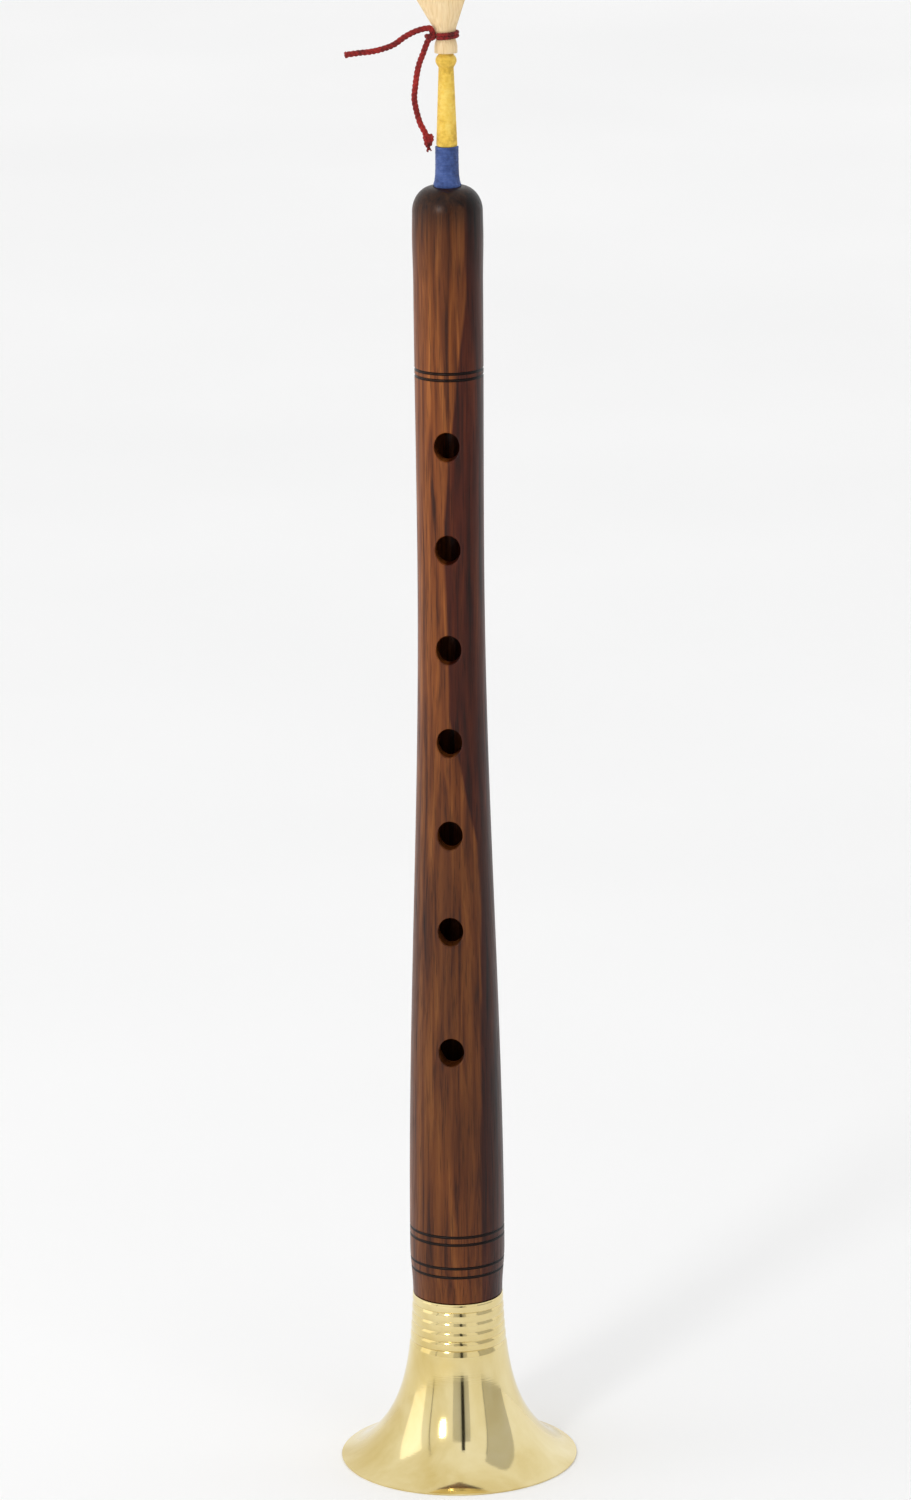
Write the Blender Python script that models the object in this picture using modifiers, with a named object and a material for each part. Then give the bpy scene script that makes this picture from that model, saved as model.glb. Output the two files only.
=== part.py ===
# Shehnai: a conical wooden pipe with a brass bell, a wound staple and a four-leaf cane reed.
# Units are metres and +Z is up. The instrument stands on its bell, with the centre of the
# bell's mouth at the origin and the finger holes facing -Y.

import bisect
import math

import bmesh
import bpy
from mathutils import Vector


# Gaps between touching pieces

FACE_GAP = 0.0003
WINDING_GAP = 0.00015

# Bell: a spun brass flare with a ribbed neck

BELL_HEIGHT = 0.0574
BELL_MOUTH_RADIUS = 0.0390
BELL_THROAT_RADIUS = 0.0144
BELL_WALL = 0.0010
RIM_EDGE_HEIGHT = 0.0006
FLARE_LENGTH = 0.0151
RIM_CURL_WIDTH = 0.0023
RIM_CURL_LENGTH = 0.0011
RIB_COUNT = 5
RIB_PITCH = 0.00325
RIB_DEPTH = 0.0004

# Pipe: turned rosewood, with heights measured up from the face that sits on the bell

PIPE_LENGTH = 0.3694
FOOT_STEP = 0.0002
FOOT_SWELL_HEIGHT = 0.0163
FOOT_SWELL_RADIUS = 0.01556
WAIST_HEIGHT = 0.2463
WAIST_RADIUS = 0.01076
NECK_BELOW_TOP = 0.0321
NECK_RADIUS = 0.01112
HEAD_BELOW_TOP = 0.0153
HEAD_RADIUS = 0.01136
SHOULDER_HEIGHT = 0.0081
SHOULDER_RADIUS = 0.01125
TENON_LENGTH = 0.0150
LAPPING_THICKNESS = 0.0005
LAPPING_LENGTH = 0.0110
BORE_TOP_RADIUS = 0.0040
BORE_FOOT_RADIUS = 0.0090
SOCKET_RADIUS = 0.0045
SOCKET_DEPTH = 0.0180

# Decorative grooves: the middle of each pair above the foot, and the spacing in the pair

FOOT_GROOVES_HEIGHT = 0.0108
FOOT_GROOVES_SPACING = 0.0032
LOW_GROOVES_HEIGHT = 0.0219
LOW_GROOVES_SPACING = 0.0026
HIGH_GROOVES_BELOW_TOP = 0.0596
HIGH_GROOVES_SPACING = 0.0021
GROOVE_WIDTH = 0.0008
GROOVE_DEPTH = 0.0004

# Finger holes: the lowest above the foot, then the step up to each next one

LOWEST_HOLE_HEIGHT = 0.0863
HOLE_STEPS = (0.0406, 0.0321, 0.0307, 0.0307, 0.0329, 0.0337)
HOLE_WIDTH = 0.0082
HOLE_LENGTH = 0.0096

# Staple: a rolled brass cone that carries the reed

STAPLE_LENGTH = 0.0675
STAPLE_IN_PIPE = 0.0166
STAPLE_FOOT_RADIUS = 0.0032
STAPLE_TIP_RADIUS = 0.00145
STAPLE_WALL = 0.0004

# Thread windings on the staple

BLUE_IN_PIPE = 0.0150
BLUE_SHOWN = 0.0126
BLUE_TOP_RADIUS = 0.00375
BLUE_LEDGE = 0.0001
BLUE_FLARE_LENGTH = 0.0018
YELLOW_TAPER_LENGTH = 0.0250
YELLOW_FOOT_RADIUS = 0.00338
YELLOW_WAIST_RADIUS = 0.00245
YELLOW_COLLAR_RADIUS = 0.00340
YELLOW_COLLAR_LENGTH = 0.0044
YELLOW_SEAT_RADIUS = 0.00215
YELLOW_SEAT_LENGTH = 0.0034

# Reed: four cane leaves, nested in pairs, with heights measured up from the reed's foot

REED_LENGTH = 0.0207
REED_TIE_HEIGHT = 0.0056
REED_FAN_START = 0.0078
REED_COLLAR_RADIUS = 0.00364
REED_FAN_START_RADIUS = 0.00352
REED_FAN_SLOPE = 0.444
REED_LEAN = math.radians(7.0)
REED_TIP_ROUND = 0.0009
LEAF_THICKNESS = 0.00042
LEAF_SPACING = 0.0003
LEAF_SIDE_GAP = 0.0003
STAPLE_TO_WAIST_GAP = 0.0002
TIP_HALF_ANGLE = math.radians(6.0)
LIP_CLOSING_ANGLE = math.radians(1.5)

# Cord that ties the reed

CORD_DIAMETER = 0.0019
LOOP_THICKNESS = 0.0012
LOOP_WIDTH = 0.0023
LOOP_TILT = 0.07
KNOT_DIRECTION = math.radians(203.0)
KNOT_SIZE = Vector((0.0042, 0.0040, 0.0030))
KNOT_DROP = 0.0005
LOOP_HALF_OPENING = math.radians(25.0)
END_KNOT_SIZE = Vector((0.0040, 0.0038, 0.0050))
FRAYED_END_SWELL = 1.3

# Cord routes, measured from the middle of the reed's tie

SIDE_TAIL_ROUTE = (
    (-0.0045, -0.0022, 0.0022),
    (-0.0064, -0.0027, 0.0023),
    (-0.0094, -0.0037, 0.0015),
    (-0.0125, -0.0050, 0.0000),
    (-0.0158, -0.0066, -0.0022),
    (-0.0192, -0.0083, -0.0033),
    (-0.0225, -0.0098, -0.0039),
    (-0.0262, -0.0113, -0.0041),
    (-0.0303, -0.0126, -0.0045),
)
HANGING_TAIL_ROUTE = (
    (-0.0058, -0.0023, -0.0024),
    (-0.0070, -0.0023, -0.0056),
    (-0.0083, -0.0022, -0.0090),
    (-0.0091, -0.0021, -0.0125),
    (-0.0096, -0.0019, -0.0160),
    (-0.0100, -0.0018, -0.0197),
    (-0.0096, -0.0017, -0.0228),
    (-0.0089, -0.0016, -0.0258),
    (-0.0081, -0.0016, -0.0283),
    (-0.0070, -0.0015, -0.0304),
)
END_KNOT_OFFSET = Vector((-0.0057, -0.0015, -0.0333))

# How finely round shapes are divided

ROUND_SIDES = 40
THREAD_SIDES = 24
HOLE_SIDES = 20
FLARE_STEPS = 14
THROAT_STEPS = 9
RIB_STEPS = 4
PIPE_STEP = 0.0155
LEAF_COLUMNS = 10
LEAF_ROWS = 12

# Heights of the assembly, stacked up from the bell's mouth

PIPE_FOOT_Z = BELL_HEIGHT + FACE_GAP
PIPE_TOP_Z = PIPE_FOOT_Z + PIPE_LENGTH
STAPLE_FOOT_Z = PIPE_TOP_Z - STAPLE_IN_PIPE
STAPLE_TIP_Z = STAPLE_FOOT_Z + STAPLE_LENGTH
BLUE_FOOT_Z = PIPE_TOP_Z - BLUE_IN_PIPE
BLUE_TOP_Z = PIPE_TOP_Z + BLUE_SHOWN
YELLOW_FOOT_Z = BLUE_TOP_Z + FACE_GAP
YELLOW_COLLAR_Z = YELLOW_FOOT_Z + YELLOW_TAPER_LENGTH
YELLOW_SHOULDER_Z = YELLOW_COLLAR_Z + YELLOW_COLLAR_LENGTH
REED_FOOT_Z = YELLOW_SHOULDER_Z + FACE_GAP
REED_TIE_Z = REED_FOOT_Z + REED_TIE_HEIGHT


def flare_radius(height):
    """Outer radius of the bell: a long exponential flare with a short curl at the rim."""
    above_edge = height - RIM_EDGE_HEIGHT
    flare_width = BELL_MOUTH_RADIUS - BELL_THROAT_RADIUS - RIM_CURL_WIDTH
    flare = flare_width * math.exp(-above_edge / FLARE_LENGTH)
    curl = RIM_CURL_WIDTH * math.exp(-above_edge / RIM_CURL_LENGTH)
    return BELL_THROAT_RADIUS + flare + curl


def flare_slope(height):
    """How fast the bell's outer radius shrinks with height."""
    step = 0.00005
    return (flare_radius(height) - flare_radius(height + step)) / step


LIP_RADIUS = flare_radius(BELL_HEIGHT)
BELL_SOCKET_RADIUS = LIP_RADIUS - BELL_WALL
BELL_SOCKET_DEPTH = TENON_LENGTH + FACE_GAP
LAPPING_RADIUS = BELL_SOCKET_RADIUS - FACE_GAP
TENON_RADIUS = LAPPING_RADIUS - LAPPING_THICKNESS - WINDING_GAP
TENON_END_Z = PIPE_FOOT_Z - TENON_LENGTH
FOOT_RADIUS = LIP_RADIUS - FOOT_STEP


# Scene tools

def clear_scene():
    for item in list(bpy.data.objects):
        bpy.data.objects.remove(item, do_unlink=True)


def new_collection(name):
    collection = bpy.data.collections.new(name)
    bpy.context.scene.collection.children.link(collection)
    return collection


def new_material(name, colour, roughness, metallic=0.0):
    material = bpy.data.materials.new(name)
    material.use_nodes = True
    shader = material.node_tree.nodes["Principled BSDF"]
    shader.inputs["Base Color"].default_value = (*colour, 1.0)
    shader.inputs["Roughness"].default_value = roughness
    shader.inputs["Metallic"].default_value = metallic
    return material


def add_object(name, data, collection, material, pivot=None):
    piece = bpy.data.objects.new(name, data)
    collection.objects.link(piece)
    data.materials.append(material)
    if pivot is not None:
        piece.parent = pivot
        piece.location = -pivot_place(pivot)
    return piece


def pivot_place(pivot):
    """World place of an empty that is only moved along with its parents."""
    place = pivot.location.copy()
    if pivot.parent is not None:
        place += pivot_place(pivot.parent)
    return place


def add_pivot(name, collection, place, parent=None):
    """An empty on a joint's axis, which carries the pieces that move with that joint."""
    pivot = bpy.data.objects.new(name, None)
    pivot.empty_display_size = 0.01
    pivot.location = place
    if parent is not None:
        pivot.parent = parent
        pivot.location -= pivot_place(parent)
    collection.objects.link(pivot)
    return pivot


def smooth_shade(mesh):
    mesh.shade_smooth()
    mesh.set_sharp_from_angle(angle=math.radians(35.0))


def add_turned(name, outline, sides, collection, material, pivot=None):
    """A piece turned on the Z axis from a closed outline of (radius, height) points.

    The outline runs down its outer side first and comes back up its bore.
    """
    mesh = bpy.data.meshes.new(name)
    points = [(radius, 0.0, height) for radius, height in outline]
    edges = [(i, (i + 1) % len(points)) for i in range(len(points))]
    mesh.from_pydata(points, edges, [])
    piece = add_object(name, mesh, collection, material, pivot)
    screw = piece.modifiers.new("Turning", "SCREW")
    screw.axis = "Z"
    screw.angle = math.tau
    screw.steps = sides
    screw.render_steps = sides
    screw.use_merge_vertices = True
    screw.merge_threshold = 0.00001
    screw.use_smooth_shade = True
    return piece


# Curve tools for the cords

def catmull_rom(before, start, end, after, share):
    """A point on the smooth curve between start and end."""
    squared = share * share
    cubed = squared * share
    return 0.5 * (
        2.0 * start
        + (end - before) * share
        + (2.0 * before - 5.0 * start + 4.0 * end - after) * squared
        + (3.0 * start - before - 3.0 * end + after) * cubed
    )


def smooth_route(route, origin, spacing):
    """Evenly spaced points on a smooth curve through the route's own points."""
    knots = [origin + Vector(point) for point in route]
    knots = [2 * knots[0] - knots[1]] + knots + [2 * knots[-1] - knots[-2]]
    fine = []
    for i in range(1, len(knots) - 2):
        for step in range(12):
            fine.append(catmull_rom(*knots[i - 1:i + 3], step / 12.0))
    fine.append(knots[-2])
    travelled = [0.0]
    for i in range(1, len(fine)):
        travelled.append(travelled[-1] + (fine[i] - fine[i - 1]).length)
    runs = max(2, round(travelled[-1] / spacing))
    points = []
    for i in range(runs + 1):
        target = travelled[-1] * i / runs
        after = min(max(bisect.bisect_left(travelled, target), 1), len(fine) - 1)
        span = travelled[after] - travelled[after - 1]
        points.append(fine[after - 1].lerp(fine[after], (target - travelled[after - 1]) / span))
    print("cord length %.1f mm" % (travelled[-1] * 1000.0))
    return points


def add_cord(name, route, origin, collection, material, pivot, end_swell=1.0):
    """A cord's free stretch: a round tube along its route."""
    points = smooth_route(route, origin, 2.0 * CORD_DIAMETER)
    curve = bpy.data.curves.new(name, "CURVE")
    curve.dimensions = "3D"
    curve.bevel_depth = CORD_DIAMETER / 2.0
    curve.bevel_resolution = 2
    curve.use_fill_caps = True
    spline = curve.splines.new("POLY")
    spline.points.add(len(points) - 1)
    for point, place in zip(spline.points, points):
        point.co = (*place, 1.0)
    spline.points[-1].radius = end_swell
    return add_object(name, curve, collection, material, pivot)


# Bell

def rib_radius(height):
    """Outer radius of the bell's neck, where rounded ribs stand between narrow grooves."""
    below_lip = BELL_HEIGHT - height
    ripple = abs(math.sin(math.pi * below_lip / RIB_PITCH))
    return flare_radius(height) - RIB_DEPTH * (1.0 - ripple) ** 2


def bell_inner_radius(height):
    """Inner radius under the flare, with the wall's thickness measured square to it."""
    across = BELL_WALL * math.hypot(1.0, flare_slope(height))
    return flare_radius(height) - across


def make_bell(collection, material):
    ribs_foot = BELL_HEIGHT - RIB_COUNT * RIB_PITCH
    socket_foot = BELL_HEIGHT - BELL_SOCKET_DEPTH
    outline = [(LIP_RADIUS, BELL_HEIGHT)]
    for i in range(1, RIB_COUNT * RIB_STEPS + 1):
        height = BELL_HEIGHT - i * RIB_PITCH / RIB_STEPS
        outline.append((rib_radius(height), height))
    for i in range(1, FLARE_STEPS + 1):
        share = (1.0 - i / FLARE_STEPS) ** 1.6
        height = RIM_EDGE_HEIGHT + (ribs_foot - RIM_EDGE_HEIGHT) * share
        outline.append((flare_radius(height), height))
    outline.append((BELL_MOUTH_RADIUS, 0.0))
    for i in range(THROAT_STEPS):
        height = socket_foot * (i / THROAT_STEPS) ** 1.6
        outline.append((bell_inner_radius(height + RIM_EDGE_HEIGHT), height))
    outline.append((bell_inner_radius(socket_foot), socket_foot - BELL_WALL))
    outline.append((BELL_SOCKET_RADIUS, socket_foot))
    outline.append((BELL_SOCKET_RADIUS, BELL_HEIGHT))
    return add_turned("bell", outline, ROUND_SIDES, collection, material)


# Pipe

def pipe_radius(height):
    """Outer radius of the pipe at a height above its foot, eased between five turned sizes."""
    stations = (
        (0.0, FOOT_RADIUS),
        (FOOT_SWELL_HEIGHT, FOOT_SWELL_RADIUS),
        (WAIST_HEIGHT, WAIST_RADIUS),
        (PIPE_LENGTH - NECK_BELOW_TOP, NECK_RADIUS),
        (PIPE_LENGTH - HEAD_BELOW_TOP, HEAD_RADIUS),
        (PIPE_LENGTH - SHOULDER_HEIGHT, SHOULDER_RADIUS),
    )
    upper = 1
    while upper < len(stations) - 1 and height > stations[upper][0]:
        upper += 1
    low_height, low_radius = stations[upper - 1]
    high_height, high_radius = stations[upper]
    share = min(max((height - low_height) / (high_height - low_height), 0.0), 1.0)
    return low_radius + (high_radius - low_radius) * (1.0 - math.cos(math.pi * share)) / 2.0


def groove_heights():
    pairs = (
        (FOOT_GROOVES_HEIGHT, FOOT_GROOVES_SPACING),
        (LOW_GROOVES_HEIGHT, LOW_GROOVES_SPACING),
        (PIPE_LENGTH - HIGH_GROOVES_BELOW_TOP, HIGH_GROOVES_SPACING),
    )
    return [middle + side * spacing / 2.0 for middle, spacing in pairs for side in (-1, 1)]


def hole_heights():
    heights = [LOWEST_HOLE_HEIGHT]
    for step in HOLE_STEPS:
        heights.append(heights[-1] + step)
    return heights


def pipe_outer_points():
    """The pipe's outer side from its shoulder down to its foot, as (radius, height) points."""
    top = PIPE_LENGTH - SHOULDER_HEIGHT
    points = []
    shoulder_steps = 7
    for i in range(shoulder_steps + 1):
        turn = math.radians(90.0) * (1.0 - i / shoulder_steps)
        radius = SOCKET_RADIUS + (SHOULDER_RADIUS - SOCKET_RADIUS) * math.cos(turn)
        points.append((radius, top + SHOULDER_HEIGHT * math.sin(turn)))
    grooves = groove_heights()
    runs = math.ceil(top / PIPE_STEP)
    for i in range(1, runs + 1):
        height = top * (1.0 - i / runs)
        if all(abs(height - groove) > 1.5 * GROOVE_WIDTH for groove in grooves):
            points.append((pipe_radius(height), height))
    for groove in grooves:
        points.append((pipe_radius(groove) - GROOVE_DEPTH, groove))
        for side in (-1, 1):
            edge = groove + side * GROOVE_WIDTH / 2.0
            points.append((pipe_radius(edge), edge))
    return sorted(points, key=lambda point: -point[1])


def add_hole_cutter(number, height, collection):
    """An oval peg that reaches from in front of the pipe into its bore."""
    reach = 2.0 * FOOT_SWELL_RADIUS
    mesh = bpy.data.meshes.new("hole_cutter_%d" % number)
    shape = bmesh.new()
    bmesh.ops.create_cone(
        shape, cap_ends=True, segments=HOLE_SIDES, radius1=0.5, radius2=0.5, depth=1.0)
    for vert in shape.verts:
        across, along, depth = vert.co
        vert.co = Vector((across * HOLE_WIDTH, (depth - 0.5) * reach, along * HOLE_LENGTH))
    bmesh.ops.recalc_face_normals(shape, faces=shape.faces)
    shape.to_mesh(mesh)
    shape.free()
    cutter = bpy.data.objects.new(mesh.name, mesh)
    cutter.location = (0.0, -BORE_TOP_RADIUS / 4.0, PIPE_FOOT_Z + height)
    cutter.hide_render = True
    cutter.display_type = "WIRE"
    collection.objects.link(cutter)


def make_pipe(collection, cutters, material, pivot):
    outline = [(radius, PIPE_FOOT_Z + height) for radius, height in pipe_outer_points()]
    outline.append((TENON_RADIUS, PIPE_FOOT_Z))
    outline.append((TENON_RADIUS, TENON_END_Z))
    outline.append((BORE_FOOT_RADIUS, TENON_END_Z))
    outline.append((BORE_TOP_RADIUS, PIPE_TOP_Z - SOCKET_DEPTH))
    outline.append((SOCKET_RADIUS, PIPE_TOP_Z - SOCKET_DEPTH))
    pipe = add_turned("pipe", outline, ROUND_SIDES, collection, material, pivot)
    for number, height in enumerate(hole_heights(), start=1):
        add_hole_cutter(number, height, cutters)
    holes = pipe.modifiers.new("Finger holes", "BOOLEAN")
    holes.operation = "DIFFERENCE"
    holes.operand_type = "COLLECTION"
    holes.collection = cutters
    holes.solver = "EXACT"
    return pipe


def make_bell_lapping(collection, material, pivot):
    """The thread packing that makes the tenon a push fit in the bell."""
    middle = PIPE_FOOT_Z - TENON_LENGTH / 2.0
    top = middle + LAPPING_LENGTH / 2.0
    foot = middle - LAPPING_LENGTH / 2.0
    bore = TENON_RADIUS + WINDING_GAP
    outline = [(LAPPING_RADIUS, top), (LAPPING_RADIUS, foot), (bore, foot), (bore, top)]
    return add_turned("bell_lapping", outline, ROUND_SIDES, collection, material, pivot)


# Staple and its windings

def staple_radius(z):
    share = (z - STAPLE_FOOT_Z) / STAPLE_LENGTH
    return STAPLE_FOOT_RADIUS + (STAPLE_TIP_RADIUS - STAPLE_FOOT_RADIUS) * share


def make_staple(collection, material, pivot):
    outline = [
        (STAPLE_TIP_RADIUS, STAPLE_TIP_Z),
        (STAPLE_FOOT_RADIUS, STAPLE_FOOT_Z),
        (STAPLE_FOOT_RADIUS - STAPLE_WALL, STAPLE_FOOT_Z),
        (STAPLE_TIP_RADIUS - STAPLE_WALL, STAPLE_TIP_Z),
    ]
    return add_turned("staple", outline, THREAD_SIDES, collection, material, pivot)


def add_winding(name, outer, collection, material, pivot):
    """A thread winding with the given outer side, bored to fit on the staple."""
    top = outer[0][1]
    foot = outer[-1][1]
    bore = [(staple_radius(z) + WINDING_GAP, z) for z in (foot, top)]
    return add_turned(name, outer + bore, THREAD_SIDES, collection, material, pivot)


def make_blue_winding(collection, material, pivot):
    """Packing thread: a plug in the pipe's socket, flared where it rests on the wood."""
    flare = SOCKET_RADIUS + BLUE_LEDGE - BLUE_TOP_RADIUS
    ledge = PIPE_TOP_Z + FACE_GAP
    steps = 6
    outer = []
    for i in range(steps + 1):
        above = (BLUE_TOP_Z - ledge) * (1.0 - i / steps) ** 1.8
        outer.append((BLUE_TOP_RADIUS + flare * math.exp(-above / BLUE_FLARE_LENGTH), ledge + above))
    plug = SOCKET_RADIUS - FACE_GAP
    outer.append((plug, ledge))
    outer.append((plug, BLUE_FOOT_Z))
    return add_winding("blue_winding", outer, collection, material, pivot)


def make_yellow_winding(collection, material, pivot):
    """Binding thread: a taper, a rounded stop collar and the seat inside the reed's foot."""
    outer = [(YELLOW_SEAT_RADIUS, YELLOW_SHOULDER_Z + YELLOW_SEAT_LENGTH)]
    steps = 8
    for i in range(steps + 1):
        turn = math.pi * i / steps
        foot_share = i / steps
        base = YELLOW_SEAT_RADIUS + (YELLOW_WAIST_RADIUS - YELLOW_SEAT_RADIUS) * foot_share
        radius = base + (YELLOW_COLLAR_RADIUS - base) * math.sin(turn)
        height = YELLOW_COLLAR_LENGTH * (1.0 + math.cos(turn)) / 2.0
        outer.append((radius, YELLOW_COLLAR_Z + height))
    outer.append((YELLOW_FOOT_RADIUS, YELLOW_FOOT_Z))
    return add_winding("yellow_winding", outer, collection, material, pivot)


# Reed

def leaf_stack(layers):
    """Thickness of a number of leaves laid on each other, with the gaps between them."""
    return layers * LEAF_THICKNESS + (layers - 1) * LEAF_SPACING


WAIST_INNER_RADIUS = staple_radius(REED_TIE_Z) + STAPLE_TO_WAIST_GAP
WAIST_OUTER_RADIUS = WAIST_INNER_RADIUS + leaf_stack(2)
LIP_PIVOT_Y = WAIST_INNER_RADIUS + leaf_stack(2) / 2.0


def smooth_step(share):
    share = min(max(share, 0.0), 1.0)
    return share * share * (3.0 - 2.0 * share)


def reed_half_width(height):
    """Outer half width of the reed at a height above its foot: collar, tied waist and fan."""
    if height < REED_TIE_HEIGHT:
        share = smooth_step(height / REED_TIE_HEIGHT * 1.4 - 0.4)
        return REED_COLLAR_RADIUS + (WAIST_OUTER_RADIUS - REED_COLLAR_RADIUS) * share
    if height < REED_FAN_START:
        share = smooth_step((height - REED_TIE_HEIGHT) / (REED_FAN_START - REED_TIE_HEIGHT))
        return WAIST_OUTER_RADIUS + (REED_FAN_START_RADIUS - WAIST_OUTER_RADIUS) * share
    return REED_FAN_START_RADIUS + REED_FAN_SLOPE * (height - REED_FAN_START)


def leaf_point(across, height, layer):
    """A point on the inner face of a leaf of the front pair.

    across runs from -1 to 1 over the leaf's width. Each section is an arc: half round at the
    foot and nearly flat at the tip. Layer 0 is the inner leaf and layer 1 the outer one.
    """
    side = LEAF_SIDE_GAP / 2.0
    side += max(height - REED_TIE_HEIGHT, 0.0) * math.tan(LIP_CLOSING_ANGLE)
    half_width = reed_half_width(height)
    round_angle = math.acos(side / (half_width - leaf_stack(2)))
    flatness = max((height - REED_TIE_HEIGHT) / (REED_LENGTH - REED_TIE_HEIGHT), 0.0)
    half_angle = round_angle + (TIP_HALF_ANGLE - round_angle) * flatness
    inner_radius = half_width / math.sin(half_angle) - leaf_stack(2)
    centre_y = inner_radius * math.cos(half_angle) - side
    radius = inner_radius + layer * (LEAF_THICKNESS + LEAF_SPACING)
    turn = across * half_angle
    lean = max(height - REED_TIE_HEIGHT, 0.0) * math.tan(REED_LEAN)
    return Vector((radius * math.sin(turn) - lean, centre_y - radius * math.cos(turn), height))


def add_leaf(name, layer, facing, collection, material, pivot):
    """A reed leaf: an open sheet laid on its arcs, then given its thickness outwards.

    facing is -1 for the front pair and 1 for the rear pair.
    """
    shape = bmesh.new()
    bmesh.ops.create_grid(shape, x_segments=LEAF_COLUMNS, y_segments=LEAF_ROWS, size=0.5)
    for vert in shape.verts:
        across = 2.0 * vert.co.x
        rise = vert.co.y + 0.5
        tip = REED_LENGTH - REED_TIP_ROUND * abs(across) ** 3
        point = leaf_point(across, rise * tip, layer)
        vert.co = Vector((point.x, -facing * point.y, point.z + REED_FOOT_Z))
    if facing > 0:
        bmesh.ops.reverse_faces(shape, faces=shape.faces)
    mesh = bpy.data.meshes.new(name)
    shape.to_mesh(mesh)
    shape.free()
    smooth_shade(mesh)
    leaf = add_object(name, mesh, collection, material, pivot)
    wall = leaf.modifiers.new("Leaf thickness", "SOLIDIFY")
    wall.thickness = LEAF_THICKNESS
    wall.offset = 1.0
    return leaf


# Cord ties

def add_cord_loop(collection, material, pivot):
    """The turn of cord round the reed's waist, pressed oval, with its ends at the knot."""
    radius = WAIST_OUTER_RADIUS + STAPLE_TO_WAIST_GAP + LOOP_THICKNESS / 2.0
    start = KNOT_DIRECTION + LOOP_HALF_OPENING
    shape = bmesh.new()
    ring = bmesh.ops.create_circle(shape, segments=10, radius=0.5)["verts"]
    for vert in ring:
        outwards = radius + vert.co.x * LOOP_THICKNESS
        vert.co = Vector((
            outwards * math.cos(start), outwards * math.sin(start), vert.co.y * LOOP_WIDTH))
    ends = list(shape.edges)
    spun = bmesh.ops.spin(
        shape, geom=ring + ends, cent=(0.0, 0.0, 0.0), axis=(0.0, 0.0, 1.0),
        angle=math.tau - 2.0 * LOOP_HALF_OPENING, steps=22, use_duplicate=False)
    far_end = [item for item in spun["geom_last"] if isinstance(item, bmesh.types.BMEdge)]
    bmesh.ops.edgeloop_fill(shape, edges=ends)
    bmesh.ops.edgeloop_fill(shape, edges=far_end)
    bmesh.ops.recalc_face_normals(shape, faces=shape.faces)
    for vert in shape.verts:
        vert.co.z += REED_TIE_Z + LOOP_TILT * vert.co.x
    mesh = bpy.data.meshes.new("cord_loop")
    shape.to_mesh(mesh)
    shape.free()
    smooth_shade(mesh)
    return add_object("cord_loop", mesh, collection, material, pivot)


def add_knot(name, centre, size, collection, material, pivot):
    """A pulled-tight knot: a ball whose surface rolls over three crossing strands."""
    shape = bmesh.new()
    bmesh.ops.create_uvsphere(shape, u_segments=18, v_segments=12, radius=0.5)
    for vert in shape.verts:
        around = math.atan2(vert.co.y, vert.co.x)
        rise = vert.co.z / 0.5
        strands = 0.10 * math.sin(3.0 * around + 3.5 * rise) * math.cos(rise * math.pi / 2.0)
        vert.co *= 0.92 * (1.0 + strands)
        vert.co = Vector((vert.co.x * size.x, vert.co.y * size.y, vert.co.z * size.z)) + centre
    mesh = bpy.data.meshes.new(name)
    shape.to_mesh(mesh)
    shape.free()
    smooth_shade(mesh)
    return add_object(name, mesh, collection, material, pivot)


# Assembly

def build():
    clear_scene()
    parts = new_collection("Shehnai")
    cutters = new_collection("Cutters")

    rosewood = new_material("Rosewood", (0.17, 0.062, 0.025), 0.35)
    brass = new_material("Polished brass", (0.80, 0.62, 0.30), 0.18, 1.0)
    yellow_thread = new_material("Yellow thread", (0.82, 0.60, 0.08), 0.75)
    blue_thread = new_material("Blue thread", (0.04, 0.09, 0.36), 0.75)
    packing_thread = new_material("Packing thread", (0.72, 0.64, 0.50), 0.85)
    cane = new_material("Cane", (0.80, 0.66, 0.42), 0.55)
    red_cord = new_material("Red cord", (0.26, 0.008, 0.012), 0.80)

    make_bell(parts, brass)

    pipe_pivot = add_pivot("pipe_pivot", parts, Vector((0.0, 0.0, PIPE_FOOT_Z)))
    make_pipe(parts, cutters, rosewood, pipe_pivot)
    make_bell_lapping(parts, packing_thread, pipe_pivot)

    staple_pivot = add_pivot("staple_pivot", parts, Vector((0.0, 0.0, PIPE_TOP_Z)), pipe_pivot)
    make_staple(parts, brass, staple_pivot)
    make_blue_winding(parts, blue_thread, staple_pivot)
    make_yellow_winding(parts, yellow_thread, staple_pivot)

    tie_middle = Vector((0.0, 0.0, REED_TIE_Z))
    reed_pivot = add_pivot("reed_pivot", parts, tie_middle, staple_pivot)
    for pair, facing in (("front", -1), ("rear", 1)):
        place = tie_middle + Vector((0.0, facing * LIP_PIVOT_Y, 0.0))
        lip_pivot = add_pivot(pair + "_lip_pivot", parts, place, reed_pivot)
        for layer, side in enumerate(("inner", "outer")):
            add_leaf("reed_leaf_%s_%s" % (pair, side), layer, facing, parts, cane, lip_pivot)

    add_cord_loop(parts, red_cord, reed_pivot)
    knot_distance = WAIST_OUTER_RADIUS + STAPLE_TO_WAIST_GAP + KNOT_SIZE.x / 2.0
    knot_place = tie_middle + Vector((
        knot_distance * math.cos(KNOT_DIRECTION), knot_distance * math.sin(KNOT_DIRECTION),
        -KNOT_DROP))
    add_knot("cord_knot", knot_place, KNOT_SIZE, parts, red_cord, reed_pivot)
    add_cord("cord_tail_side", SIDE_TAIL_ROUTE, tie_middle, parts, red_cord, reed_pivot,
             FRAYED_END_SWELL)
    add_cord("cord_tail_hanging", HANGING_TAIL_ROUTE, tie_middle, parts, red_cord, reed_pivot)
    add_knot("cord_end_knot", tie_middle + END_KNOT_OFFSET, END_KNOT_SIZE, parts, red_cord,
             reed_pivot)


build()
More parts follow.
